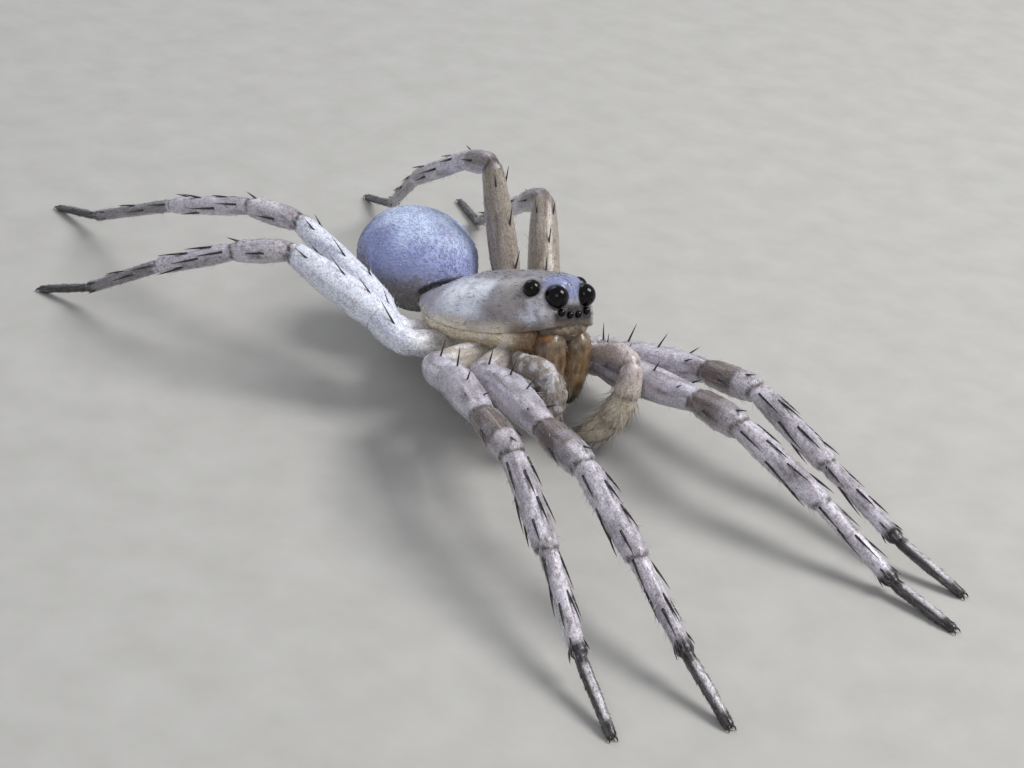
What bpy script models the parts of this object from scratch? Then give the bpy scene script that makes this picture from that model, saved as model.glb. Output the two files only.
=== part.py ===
"""A sand wolf spider standing on its eight feet, in metres, +Z up.

The spider faces +X, its left side is +Y, and its feet rest on z = 0.
Every size is a share of the length of the carapace, the shield over the front of the body.
"""
import math
import random
from collections import namedtuple

import bmesh
import bpy
from mathutils import Matrix, Vector
from mathutils.bvhtree import BVHTree

# Driving sizes, in metres
CARAPACE = 0.0040
GAP_METRES = 0.0001
GAP = GAP_METRES / CARAPACE
EYE_GAP = 0.3 * GAP

# Attitude of the front body above the floor, in degrees and shares of the carapace
BODY_HEIGHT = 0.527
NOSE_UP = 13.6
ROLL_TO_LEFT = 11.5

# The height of a foot's axis, how far along a femur its bend at the hip goes, and the sides of round pieces
FOOT_AXIS_HEIGHT = 0.012
HIP_BEND = 0.22
FEMUR_SIDES = 10
LEG_SIDES = 8
THIN_SIDES = 6
SHARP_ANGLE = 40.0
SEED = 11

# Spines: root radius, its share at root, middle and tip, root depth and the number of sides
SPINE_RADIUS = 0.016
SPINE_TAPER = (1.0, 0.62, 0.12)
SPINE_DEPTH = 0.028
SPINE_SIDES = 4

# One pair of legs: where it starts, the lengths of femur, patella, tibia, metatarsus and tarsus,
# how stout the femur is and how stout the rest is
Pair = namedtuple("Pair", "hip lengths thigh girth")
PAIRS = {
    1: Pair((0.285, 0.355, -0.245), (0.795, 0.337, 0.558, 0.490, 0.369), 0.97, 1.00),
    2: Pair((0.125, 0.520, -0.235), (0.750, 0.336, 0.541, 0.539, 0.400), 0.95, 0.98),
    3: Pair((-0.165, 0.465, -0.180), (0.800, 0.330, 0.496, 0.624, 0.357), 0.94, 0.80),
    4: Pair((-0.320, 0.375, -0.150), (0.880, 0.343, 0.672, 0.867, 0.414), 0.84, 0.80),
}
SEGMENTS = ("femur", "patella", "tibia", "metatarsus", "tarsus")

# Pose: the heading of each segment, degrees to the left of +X, and its rise above level.
# The tarsus has no rise of its own, because it reaches down to the floor.
Pose = namedtuple("Pose", "side pair headings rises")
POSES = {
    "leg_right_1": Pose(-1, 1, (-23, -11, -17, -15, -12), (8, -3, -17, -25)),
    "leg_right_2": Pose(-1, 2, (-27, -17, -24, -26, -22), (10, -5, -20, -22)),
    "leg_right_3": Pose(-1, 3, (-159, -150, -156, -169, -160), (23, -13, -24, -31)),
    "leg_right_4": Pose(-1, 4, (-174, -166, -174, -180, -178), (22, -3, -19, -25)),
    "leg_left_1": Pose(1, 1, (-1.5, -11, 2, 3, -1), (9, 5, -18, -25)),
    "leg_left_2": Pose(1, 2, (9.5, -1, -2, -10, 7), (12.5, 7, -19, -13)),
    "leg_left_3": Pose(1, 3, (141, 156, 151, 151, 157), (41, -29, -30, -30)),
    "leg_left_4": Pose(1, 4, (-178, 163, 165, 149, 162), (73, -19, -31, -34)),
}

# Radii along each segment of a leg of girth 1, as (share of the length, radius)
PROFILES = {
    "femur": (
        (0, 0.074),
        (0.06, 0.083),
        (0.14, 0.078),
        (0.22, 0.088),
        (0.42, 0.099),
        (0.70, 0.092),
        (0.92, 0.076),
        (1, 0.064),
    ),
    "patella": ((0, 0.062), (0.12, 0.076), (0.50, 0.084), (0.85, 0.078), (1, 0.062)),
    "tibia": ((0, 0.056), (0.08, 0.063), (0.35, 0.067), (0.75, 0.063), (0.93, 0.061), (1, 0.049)),
    "metatarsus": ((0, 0.045), (0.06, 0.048), (0.35, 0.045), (0.80, 0.041), (0.94, 0.043), (1, 0.037)),
    "tarsus": ((0, 0.033), (0.10, 0.036), (0.50, 0.034), (0.85, 0.030), (0.97, 0.028), (1, 0.021)),
}

# Spines of each segment as (share of the length, angle round the segment from the top, lean, length)
SPINE_PLACES = {
    "femur": ((0.34, 0, 62, 0.150), (0.58, 8, 58, 0.150), (0.82, -40, 46, 0.110)),
    "patella": ((0.45, 75, 26, 0.110), (0.45, -75, 26, 0.110)),
    "tibia": (
        (0.18, 68, 17, 0.170),
        (0.18, -68, 17, 0.170),
        (0.36, 4, 18, 0.160),
        (0.46, 135, 22, 0.180),
        (0.46, -135, 22, 0.180),
        (0.60, 68, 17, 0.150),
        (0.60, -68, 17, 0.150),
    ),
    "metatarsus": (
        (0.12, 66, 17, 0.160),
        (0.12, -66, 17, 0.160),
        (0.46, 66, 17, 0.150),
        (0.46, -66, 17, 0.150),
    ),
    "tarsus": (),
}

# Front body: sections of the carapace as (x, half width, top, margin, crown sharpness)
CARAPACE_SECTIONS = (
    (-0.500, 0.060, 0.018, 0.000, 2.0),
    (-0.488, 0.120, 0.026, -0.004, 2.0),
    (-0.440, 0.200, 0.044, -0.012, 2.0),
    (-0.340, 0.280, 0.086, -0.034, 2.0),
    (-0.200, 0.350, 0.146, -0.056, 2.1),
    (-0.050, 0.370, 0.190, -0.070, 2.1),
    (0.100, 0.345, 0.215, -0.076, 2.2),
    (0.220, 0.290, 0.230, -0.072, 2.4),
    (0.320, 0.248, 0.236, -0.056, 2.6),
    (0.400, 0.212, 0.235, -0.038, 2.6),
    (0.455, 0.190, 0.220, -0.022, 2.5),
    (0.488, 0.160, 0.190, -0.012, 2.3),
    (0.504, 0.130, 0.142, -0.006, 2.1),
    (0.510, 0.094, 0.085, 0.000, 2.0),
)
CARAPACE_LIP = 0.010
CARAPACE_SIDES = 24

# Underside of the front body: a thick plate with eight coxae fused to it
PLATE_SECTIONS = (
    (-0.420, 0.080, 0.070),
    (-0.400, 0.130, 0.110),
    (-0.300, 0.190, 0.140),
    (-0.100, 0.240, 0.165),
    (0.100, 0.240, 0.185),
    (0.220, 0.200, 0.185),
    (0.300, 0.140, 0.150),
    (0.330, 0.090, 0.110),
)
PLATE_TOP = -0.116
PLATE_SIDES = 16
COXA_ROOT = 0.42
COXA_LEVEL = -0.205
COXA_RADII = (0.078, 0.080, 0.078, 0.070)
PALP_COXA = ((0.200, 0.080, -0.200), (0.260, 0.130, -0.200), (0.322, 0.176, -0.190))
PALP_COXA_RADII = (0.060, 0.062, 0.046)

# Abdomen: a globe behind the carapace, lifted and turned on its narrow waist
WAIST = (-0.470, 0.0, -0.085)
WAIST_RADIUS = 0.042
WAIST_FLARE = 0.070
WAIST_FRONT = 0.015
WAIST_REAR = 0.030
WAIST_REACH = 0.13
ABDOMEN_LENGTH = 0.690
ABDOMEN_WIDTH = 0.650
ABDOMEN_HEIGHT = 0.560
ABDOMEN_REACH = 0.360
ABDOMEN_LIFT = 42.0
ABDOMEN_TURN = 5.3
ABDOMEN_RISE = 14.0
ABDOMEN_FULLNESS = 0.92
ABDOMEN_ROWS = 12
ABDOMEN_SIDES = 18
SHIELD_CLEARANCE = 0.030
SPINNERET_RISE = -14.0
SPINNERET_BASE = (0.0, 0.020, 0.034)
SPINNERET_BASE_RADII = (0.050, 0.050, 0.040)
SPINNERET_CONES = ((0.016, 0.070), (-0.020, 0.058))
SPINNERET_RADII = (0.018, 0.016, 0.009)
SPINNERET_DEPTH = 0.012
SPINNERET_SPREAD = 0.021
SPINNERET_SPLAY = 0.18

# Eyes: heading and rise from the middle of the head, radius, and share of the ball that is sunk
HEAD_MIDDLE = (0.330, 0.0, 0.060)
Eye = namedtuple("Eye", "heading rise radius sunk")
EYES = {
    "eye_median_rear": Eye(32, 24, 0.061, 0.67),
    "eye_lateral_rear": Eye(78, 33, 0.048, 0.66),
    "eye_median_front": Eye(9, -3, 0.020, 0.50),
    "eye_lateral_front": Eye(26, 1, 0.020, 0.50),
}

# Jaws: chelicera axis points, radii and the fang
JAW_PATH = (
    (0.434, 0.084, -0.066),
    (0.450, 0.088, -0.130),
    (0.449, 0.084, -0.248),
    (0.432, 0.072, -0.362),
    (0.416, 0.062, -0.424),
)
JAW_RADII = (0.066, 0.082, 0.078, 0.060, 0.040)
JAW_SLOPE = 0.25
FANG_PATH = (
    (0.424, 0.062, -0.389),
    (0.400, 0.052, -0.464),
    (0.360, 0.044, -0.496),
    (0.320, 0.044, -0.496),
)
FANG_RADII = (0.030, 0.024, 0.016, 0.005)

# Palps, the short feelers beside the jaws: points down to the knee and on to the tip
Palp = namedtuple("Palp", "side upper upper_radii lower lower_radii")
PALPS = {
    "palp_left": Palp(
        1,
        ((0.345, 0.200, -0.190), (0.480, 0.240, -0.170), (0.660, 0.210, -0.146), (0.755, 0.185, -0.205)),
        (0.042, 0.050, 0.060, 0.060),
        (
            (0.755, 0.185, -0.205),
            (0.745, 0.172, -0.330),
            (0.680, 0.162, -0.450),
            (0.575, 0.136, -0.545),
            (0.485, 0.105, -0.580),
        ),
        (0.060, 0.070, 0.075, 0.068, 0.032),
    ),
    "palp_right": Palp(
        -1,
        ((0.345, 0.200, -0.190), (0.430, 0.236, -0.205), (0.530, 0.232, -0.215), (0.600, 0.212, -0.265)),
        (0.042, 0.056, 0.066, 0.062),
        (
            (0.600, 0.212, -0.265),
            (0.608, 0.203, -0.340),
            (0.575, 0.192, -0.410),
            (0.505, 0.180, -0.470),
            (0.450, 0.170, -0.495),
        ),
        (0.062, 0.070, 0.068, 0.058, 0.028),
    ),
}

# Materials: colour, roughness
LOOKS = {
    "pale": ((0.78, 0.74, 0.72), 0.45),
    "abdomen": ((0.50, 0.52, 0.60), 0.70),
    "eye": ((0.01, 0.01, 0.012), 0.08),
    "jaw": ((0.36, 0.20, 0.11), 0.35),
    "leg": ((0.58, 0.53, 0.52), 0.50),
}


def clear_scene():
    """Remove what a new file starts with."""
    for thing in list(bpy.data.objects):
        bpy.data.objects.remove(thing, do_unlink=True)


def material(look):
    """One Principled material for each look, made once."""
    found = bpy.data.materials.get(look)
    if found:
        return found
    colour, roughness = LOOKS[look]
    made = bpy.data.materials.new(look)
    made.use_nodes = True
    shader = made.node_tree.nodes["Principled BSDF"]
    shader.inputs["Base Color"].default_value = (*colour, 1.0)
    shader.inputs["Roughness"].default_value = roughness
    return made


def heading_vector(heading, rise):
    """Unit vector with a heading to the left of +X and a rise above level, in degrees."""
    turn = math.radians(heading)
    lift = math.radians(rise)
    return Vector((math.cos(lift) * math.cos(turn), math.cos(lift) * math.sin(turn), math.sin(lift)))


def body_matrix():
    """From the front body's own frame to the model's, in shares of the carapace."""
    lift = Matrix.Rotation(-math.radians(NOSE_UP), 4, "Y")
    lean = Matrix.Rotation(-math.radians(ROLL_TO_LEFT), 4, "X")
    return Matrix.Translation((0, 0, BODY_HEIGHT)) @ lift @ lean


def skin_rings(rings):
    """A closed bmesh from rings of equal count, with a fan at each end."""
    made = bmesh.new()
    rows = [[made.verts.new(point) for point in ring] for ring in rings]
    count = len(rows[0])
    for near, far in zip(rows, rows[1:]):
        for i in range(count):
            j = (i + 1) % count
            made.faces.new((near[i], near[j], far[j], far[i]))
    for row, order in ((rows[0], -1), (rows[-1], 1)):
        middle = made.verts.new(sum((v.co for v in row), Vector()) / count)
        for i in range(count):
            j = (i + 1) % count
            pair = (row[i], row[j]) if order > 0 else (row[j], row[i])
            made.faces.new((pair[0], pair[1], middle))
    bmesh.ops.triangulate(made, faces=made.faces[:])
    bmesh.ops.recalc_face_normals(made, faces=made.faces[:])
    return made


def tube(path, radii, sides, first_normal=None, last_normal=None):
    """A round tube along a path, whose end faces may lie on slanted planes."""
    points = [Vector(p) for p in path]
    runs = [(b - a).normalized() for a, b in zip(points, points[1:])]
    side = runs[0].orthogonal().normalized()
    rings = []
    for i, point in enumerate(points):
        before = runs[max(i - 1, 0)]
        after = runs[min(i, len(runs) - 1)]
        along = (before + after).normalized()
        normal = along
        if i == 0 and first_normal is not None:
            normal = first_normal
        if i == len(points) - 1 and last_normal is not None:
            normal = last_normal
        side = (side - along * side.dot(along)).normalized()
        up = along.cross(side)
        ring = []
        for k in range(sides):
            angle = 2 * math.pi * k / sides
            spoke = (side * math.cos(angle) + up * math.sin(angle)) * radii[i]
            spoke -= along * (spoke.dot(normal) / along.dot(normal))
            ring.append(point + spoke)
        rings.append(ring)
    return skin_rings(rings)


def smooth_path(points, radii, steps):
    """More points and radii along a smooth curve through the given ones."""
    ends = [points[0] * 2 - points[1], *points, points[-1] * 2 - points[-2]]
    sizes = [radii[0], *radii, radii[-1]]
    path = []
    girths = []
    for i in range(len(points) - 1):
        for step in range(steps):
            t = step / steps
            weights = (
                (-t + 2 * t * t - t ** 3) / 2,
                (2 - 5 * t * t + 3 * t ** 3) / 2,
                (t + 4 * t * t - 3 * t ** 3) / 2,
                (-t * t + t ** 3) / 2,
            )
            path.append(sum((ends[i + k] * weights[k] for k in range(4)), Vector()))
            girths.append(sum(sizes[i + k] * weights[k] for k in range(4)))
    return [*path, points[-1]], [*girths, radii[-1]]


def move(mesh, matrix):
    """Carry a bmesh by a matrix and give it back."""
    bmesh.ops.transform(mesh, matrix=matrix, verts=mesh.verts[:])
    return mesh


def add_object(name, mesh, look):
    """Turn a bmesh into a named object with its material."""
    data = bpy.data.meshes.new(name)
    mesh.to_mesh(data)
    mesh.free()
    made = bpy.data.objects.new(name, data)
    bpy.context.collection.objects.link(made)
    data.materials.append(material(look))
    return made


def keep_largest(data):
    """Keep only the largest closed surface of a mesh."""
    mesh = bmesh.new()
    mesh.from_mesh(data)
    left = set(mesh.verts)
    shells = []
    while left:
        shell = set()
        open_ends = [left.pop()]
        while open_ends:
            vert = open_ends.pop()
            shell.add(vert)
            for edge in vert.link_edges:
                other = edge.other_vert(vert)
                if other in left:
                    left.remove(other)
                    open_ends.append(other)
        shells.append(shell)
    largest = max(shells, key=len)
    scraps = [v for shell in shells if shell is not largest for v in shell]
    bmesh.ops.delete(mesh, geom=scraps, context="VERTS")
    bmesh.ops.triangulate(mesh, faces=mesh.faces[:])
    mesh.to_mesh(data)
    mesh.free()


def combine(target, pieces, operation, solver):
    """Join closed pieces to an object, or cut them out of it, by one Boolean."""
    group = bpy.data.collections.new(target.name + "_pieces")
    bpy.context.scene.collection.children.link(group)
    for i, piece in enumerate(pieces):
        part = add_object(f"{target.name}_piece_{i}", piece, "pale")
        bpy.context.collection.objects.unlink(part)
        group.objects.link(part)
    join = target.modifiers.new("join", "BOOLEAN")
    join.operation = operation
    join.operand_type = "COLLECTION"
    join.collection = group
    join.solver = solver
    shape = bpy.context.evaluated_depsgraph_get()
    joined = bpy.data.meshes.new_from_object(target.evaluated_get(shape))
    target.modifiers.clear()
    target.data = joined
    for part in list(group.objects):
        bpy.data.objects.remove(part, do_unlink=True)
    bpy.data.collections.remove(group)
    keep_largest(target.data)


def fuse(name, core, pieces, look, solver="EXACT", cuts=()):
    """One closed body from a core, the pieces that grow from it and what is cut out of it."""
    made = add_object(name, core, look)
    if pieces:
        combine(made, pieces, "UNION", solver)
    if cuts:
        combine(made, cuts, "DIFFERENCE", solver)
    return made


def circle(sides):
    """Cosine and sine of evenly spaced angles round a ring."""
    return [(math.cos(2 * math.pi * k / sides), math.sin(2 * math.pi * k / sides)) for k in range(sides)]


def globe(centre, radius, rows=7, sides=10):
    """A ball from rings, for an eye."""
    rings = []
    for i in range(rows):
        angle = math.pi * (i + 0.5) / rows
        height = -math.cos(angle) * radius
        reach = math.sin(angle) * radius
        rings.append([Vector(centre) + Vector((c * reach, s * reach, height)) for c, s in circle(sides)])
    return skin_rings(rings)


def carapace_ring(x, half_width, top, margin, power):
    """One section of the carapace: an arched top over a nearly flat belly."""
    ring = []
    for k in range(CARAPACE_SIDES):
        angle = 2 * math.pi * k / CARAPACE_SIDES
        across = math.copysign(abs(math.cos(angle)) ** (2 / power), math.cos(angle))
        rise = abs(math.sin(angle)) ** (2 / power)
        if math.sin(angle) >= 0:
            z = margin + (top - margin) * rise
        else:
            z = margin - CARAPACE_LIP * rise
        ring.append(Vector((x, half_width * across, z)))
    return ring


def eye_places(head):
    """Centre and radius of each eye, from rays out of the middle of the head to its surface."""
    surface = BVHTree.FromBMesh(head)
    places = {}
    for name, eye in EYES.items():
        for side, word in ((1, "left"), (-1, "right")):
            ray = heading_vector(eye.heading * side, eye.rise)
            spot, normal, _, _ = surface.ray_cast(Vector(HEAD_MIDDLE), ray)
            depth = (2 * eye.sunk - 1) * eye.radius
            places[f"{name}_{word}"] = (spot - normal * depth, eye.radius)
    return places


def add_head(frame):
    """The shield over the front body with a socket for each eye, and the eyes in them."""
    head = skin_rings([carapace_ring(*section) for section in CARAPACE_SECTIONS])
    places = eye_places(head)
    sockets = [move(globe(centre, radius + EYE_GAP, 8, 12), frame) for centre, radius in places.values()]
    fuse("carapace", move(head, frame), (), "pale", cuts=sockets)
    for name, (centre, radius) in places.items():
        add_object(name, move(globe(centre, radius), frame), "eye")


def coxa_root(hip):
    """Where a coxa starts inside the plate."""
    return Vector((hip.x * 0.75, hip.y * COXA_ROOT, COXA_LEVEL))


def add_underside(frame, hips):
    """The plate below the carapace with eight coxae fused to it."""
    rings = []
    for x, half_width, depth in PLATE_SECTIONS:
        centre = PLATE_TOP - depth / 2
        rings.append([Vector((x, half_width * c, centre + depth / 2 * s)) for c, s in circle(PLATE_SIDES)])
    plate = move(skin_rings(rings), frame)
    coxae = []
    for hip in hips:
        root = coxa_root(hip)
        points = [root.lerp(hip, t) for t in (0, 0.35, 0.75, 1)]
        coxae.append(move(tube(points, COXA_RADII, FEMUR_SIDES), frame))
    for side in (-1, 1):
        coxae.append(move(tube(mirrored(PALP_COXA, side), PALP_COXA_RADII, LEG_SIDES), frame))
    fuse("underside", plate, coxae, "pale")


def shield_clearance():
    """The back of the carapace made a little larger, to hollow the abdomen's front with."""
    rings = []
    for x, half_width, top, margin, power in CARAPACE_SECTIONS:
        if x < 0:
            wide = half_width + SHIELD_CLEARANCE
            ring = carapace_ring(x - SHIELD_CLEARANCE, wide, top + SHIELD_CLEARANCE, margin, power)
            for point in ring:
                if point.z < margin:
                    point.z -= SHIELD_CLEARANCE
            rings.append(ring)
    return skin_rings(rings)


def add_abdomen(frame):
    """The globe that leans over the carapace's back, with its narrow waist fused to it."""
    waist = Vector(WAIST)
    reach = heading_vector(180 - ABDOMEN_TURN, ABDOMEN_LIFT)
    axis = heading_vector(180 - ABDOMEN_TURN, ABDOMEN_RISE)
    centre = waist + reach * ABDOMEN_REACH
    turn = axis.to_track_quat("X", "Z").to_matrix().to_4x4()
    rings = []
    for i in range(ABDOMEN_ROWS):
        angle = math.pi * (i + 0.5) / ABDOMEN_ROWS
        x = -math.cos(angle) * ABDOMEN_LENGTH / 2
        girth = math.sin(angle) ** ABDOMEN_FULLNESS
        half_width = ABDOMEN_WIDTH / 2 * girth
        half_height = ABDOMEN_HEIGHT / 2 * girth
        rings.append([Vector((x, half_width * c, half_height * s)) for c, s in circle(ABDOMEN_SIDES)])
    place = frame @ Matrix.Translation(centre) @ turn
    body = move(skin_rings(rings), place)
    front = waist + Vector((WAIST_FRONT, 0, 0))
    rear = waist - Vector((WAIST_REAR, 0, 0))
    stalk_path = (front, rear, waist + reach * WAIST_REACH)
    stalk = move(tube(stalk_path, (WAIST_RADIUS, WAIST_RADIUS, WAIST_FLARE), LEG_SIDES), frame)
    made = fuse("abdomen", body, [stalk], "abdomen", cuts=[move(shield_clearance(), frame)])
    add_spinnerets(frame, centre, made)


def add_spinnerets(frame, centre, abdomen):
    """Two pairs of short cones on one base, low on the abdomen's rear."""
    corners = [v.co for v in abdomen.data.vertices]
    skin = BVHTree.FromPolygons(corners, [tuple(p.vertices) for p in abdomen.data.polygons])
    out = heading_vector(180 - ABDOMEN_TURN, SPINNERET_RISE)
    spot, _, _, _ = skin.ray_cast(frame @ centre, frame.to_3x3() @ out)
    tip = frame.inverted() @ spot + out * GAP * 1.3
    base_path = [tip + out * reach for reach in SPINNERET_BASE]
    base = move(tube(base_path, SPINNERET_BASE_RADII, LEG_SIDES), frame)
    side = out.cross(Vector((0, 0, 1))).normalized()
    rise = side.cross(out)
    cones = []
    for across in (-1, 1):
        for height, length in SPINNERET_CONES:
            root = tip + out * SPINNERET_DEPTH + side * across * SPINNERET_SPREAD + rise * height
            way = (out + side * across * SPINNERET_SPLAY + rise * height * 4).normalized()
            path = (root, root + way * length * 0.6, root + way * length)
            cones.append(move(tube(path, SPINNERET_RADII, THIN_SIDES), frame))
    fuse("spinnerets", base, cones, "abdomen")


def mirrored(path, side):
    """A path of the left side, or its mirror image."""
    return [Vector((x, y * side, z)) for x, y, z in path]


def add_jaws(frame):
    """Two chelicerae, each with its folded fang fused on."""
    for side, word in ((1, "left"), (-1, "right")):
        path, radii = smooth_path(mirrored(JAW_PATH, side), JAW_RADII, 2)
        rim = Vector((JAW_SLOPE, 0, -1)).normalized()
        jaw = move(tube(path, radii, FEMUR_SIDES, rim), frame)
        fang = move(tube(mirrored(FANG_PATH, side), FANG_RADII, THIN_SIDES), frame)
        fuse(f"chelicera_{word}", jaw, [fang], "jaw")


def add_palps(frame):
    """The palps, each in two lengths that meet face to face at the knee."""
    for name, palp in PALPS.items():
        upper = mirrored(palp.upper, palp.side)
        lower = mirrored(palp.lower, palp.side)
        before = (upper[-1] - upper[-2]).normalized()
        after = (lower[1] - lower[0]).normalized()
        bisector = (before + after).normalized()
        reach = GAP / 2 / before.dot(bisector)
        upper[-1] = upper[-1] - before * reach
        lower[0] = lower[0] + after * reach
        upper, upper_radii = smooth_path(upper, palp.upper_radii, 2)
        lower, lower_radii = smooth_path(lower, palp.lower_radii, 2)
        add_object(f"{name}_upper", move(tube(upper, upper_radii, LEG_SIDES, None, bisector), frame), "pale")
        add_object(f"{name}_lower", move(tube(lower, lower_radii, LEG_SIDES, bisector, None), frame), "pale")


def leg_joints(frame, hip, pose, lengths):
    """The joint centres of one leg from hip to toe, the last reaching the floor."""
    points = [frame @ hip]
    for heading, rise, length in zip(pose.headings, pose.rises, lengths):
        points.append(points[-1] + heading_vector(heading, rise) * length)
    drop = FOOT_AXIS_HEIGHT - points[-1].z
    rise = math.degrees(math.asin(drop / lengths[-1]))
    points.append(points[-1] + heading_vector(pose.headings[-1], rise) * lengths[-1])
    return points


def spine(root, out, length):
    """One tapering spine that starts under the surface and bends a little at half length."""
    foot = root - out * SPINE_DEPTH
    knee = root + out * length * 0.5
    radii = [SPINE_RADIUS * share for share in SPINE_TAPER]
    return tube((foot, knee, root + out * length), radii, SPINE_SIDES)


def radius_at(profile, share):
    """Radius of a profile at a share of its length."""
    for (s0, r0), (s1, r1) in zip(profile, profile[1:]):
        if share <= s1:
            return r0 + (r1 - r0) * (share - s0) / (s1 - s0)
    return profile[-1][1]


def segment_spines(kind, start, end, girth, draw):
    """The spines of one segment, leaning towards its far end."""
    along = (end - start).normalized()
    top = (Vector((0, 0, 1)) - along * along.z).normalized()
    side = along.cross(top)
    made = []
    for share, angle, lean, length in SPINE_PLACES[kind]:
        turn = math.radians(angle + draw.uniform(-6, 6))
        tilt = math.radians(lean + draw.uniform(-4, 4))
        spoke = top * math.cos(turn) + side * math.sin(turn)
        radius = radius_at(PROFILES[kind], share) * girth
        root = start.lerp(end, share + draw.uniform(-0.02, 0.02)) + spoke * radius * 0.94
        out = along * math.cos(tilt) + spoke * math.sin(tilt)
        made.append(spine(root, out, length * draw.uniform(0.9, 1.1)))
    return made


def add_leg(name, frame, pose, draw):
    """One leg of five segments that meet face to face on slanted planes."""
    pair = PAIRS[pose.pair]
    hip = Vector((pair.hip[0], pair.hip[1] * pose.side, pair.hip[2]))
    joints = leg_joints(frame, hip, pose, pair.lengths)
    runs = [(b - a).normalized() for a, b in zip(joints, joints[1:])]
    outward = (frame.to_3x3() @ (hip - coxa_root(hip))).normalized()
    for i, kind in enumerate(SEGMENTS):
        profile = PROFILES[kind]
        start = joints[i]
        end = joints[i + 1]
        run = runs[i]
        first = (runs[i - 1] + run).normalized() if i > 0 else outward
        last = (run + runs[i + 1]).normalized() if i < 4 else run
        start_gap = run * (GAP / 2 / max(run.dot(first), 0.5))
        if i == 0:
            start_gap = outward * GAP
        end_gap = run * (GAP / 2 / max(run.dot(last), 0.5)) if i < 4 else Vector()
        near = start + start_gap
        far = end - end_gap
        path = [near.lerp(far, share) for share, _ in profile]
        if i == 0:
            path = bend_out(path, near, outward)
            first = (path[1] - path[0]).normalized()
        girth = pair.thigh if kind == "femur" else pair.girth
        radii = [radius * girth for _, radius in profile]
        sides = FEMUR_SIDES if kind == "femur" else LEG_SIDES
        core = tube(path, radii, sides, first, last)
        if kind == "tarsus":
            flatten_foot(core)
        spines = segment_spines(kind, near, far, girth, draw)
        look = "pale" if kind == "femur" else "leg"
        fuse(f"{name}_{kind}", core, spines, look, solver="MANIFOLD")
    return joints[-1]


def bend_out(path, near, outward):
    """Let a femur leave its coxa along the coxa's own direction."""
    bent = []
    for i, point in enumerate(path):
        away = (point - near).length
        share = max(0.0, 1.0 - away / HIP_BEND)
        bent.append(point.lerp(near + outward * away, share))
    return bent


def flatten_foot(mesh):
    """Cut a foot level with the floor, which leaves a small flat to stand on."""
    geometry = mesh.verts[:] + mesh.edges[:] + mesh.faces[:]
    floor = Vector((0, 0, 0))
    up = Vector((0, 0, 1))
    cut = bmesh.ops.bisect_plane(mesh, geom=geometry, plane_co=floor, plane_no=up, clear_inner=True)
    edges = [e for e in cut["geom_cut"] if isinstance(e, bmesh.types.BMEdge)]
    bmesh.ops.holes_fill(mesh, edges=edges, sides=0)
    bmesh.ops.triangulate(mesh, faces=mesh.faces[:])
    bmesh.ops.recalc_face_normals(mesh, faces=mesh.faces[:])


def settle():
    """Put the origin below the middle of the model's box and change shares to metres."""
    points = [v.co for thing in bpy.data.objects for v in thing.data.vertices]
    middle_x = (min(p.x for p in points) + max(p.x for p in points)) / 2
    middle_y = (min(p.y for p in points) + max(p.y for p in points)) / 2
    to_metres = Matrix.Scale(CARAPACE, 4) @ Matrix.Translation((-middle_x, -middle_y, 0))
    for thing in bpy.data.objects:
        thing.data.transform(to_metres)
        thing.data.shade_smooth()
        thing.data.set_sharp_from_angle(angle=math.radians(SHARP_ANGLE))
        thing.data.update()


def build():
    """Build the whole spider."""
    clear_scene()
    frame = body_matrix()
    hips = []
    for pair in PAIRS.values():
        for side in (-1, 1):
            hips.append(Vector((pair.hip[0], pair.hip[1] * side, pair.hip[2])))
    add_head(frame)
    add_underside(frame, hips)
    add_abdomen(frame)
    add_jaws(frame)
    add_palps(frame)
    draw = random.Random(SEED)
    for name, pose in POSES.items():
        add_leg(name, frame, pose, draw)
    settle()


build()
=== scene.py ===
import math
from collections import namedtuple
from types import SimpleNamespace

import bpy
import numpy as np
from mathutils import Matrix, Vector, noise
from mathutils.bvhtree import BVHTree


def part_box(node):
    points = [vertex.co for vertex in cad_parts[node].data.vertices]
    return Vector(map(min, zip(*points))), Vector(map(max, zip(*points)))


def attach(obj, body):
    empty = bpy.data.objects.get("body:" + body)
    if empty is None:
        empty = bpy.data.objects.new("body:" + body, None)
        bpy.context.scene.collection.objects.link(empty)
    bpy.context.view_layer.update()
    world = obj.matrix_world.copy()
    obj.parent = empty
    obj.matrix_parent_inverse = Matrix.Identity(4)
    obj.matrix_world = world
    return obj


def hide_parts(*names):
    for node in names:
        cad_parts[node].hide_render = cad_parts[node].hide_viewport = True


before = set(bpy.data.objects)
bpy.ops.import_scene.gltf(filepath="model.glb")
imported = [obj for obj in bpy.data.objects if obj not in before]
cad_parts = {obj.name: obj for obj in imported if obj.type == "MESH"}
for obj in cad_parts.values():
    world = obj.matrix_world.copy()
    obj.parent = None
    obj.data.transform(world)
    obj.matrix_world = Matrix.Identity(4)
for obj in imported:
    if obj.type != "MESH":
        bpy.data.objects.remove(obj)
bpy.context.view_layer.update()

# Driving sizes: lengths are shares of the carapace, which is this long in metres
CARAPACE = 0.0040
SHIFT = np.array((0.2277, 0.0174, 0.0))
BODY_HEIGHT = 0.527
NOSE_UP = 13.6
ROLL_TO_LEFT = 11.5
FOOT_AXIS_HEIGHT = 0.012
FLOOR_CLEARANCE = 0.0006
SEED = 23
BODY_COAT_SEED = SEED + 40
TAU = 2 * math.pi
HANDS = ((1, "left"), (-1, "right"))

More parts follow.
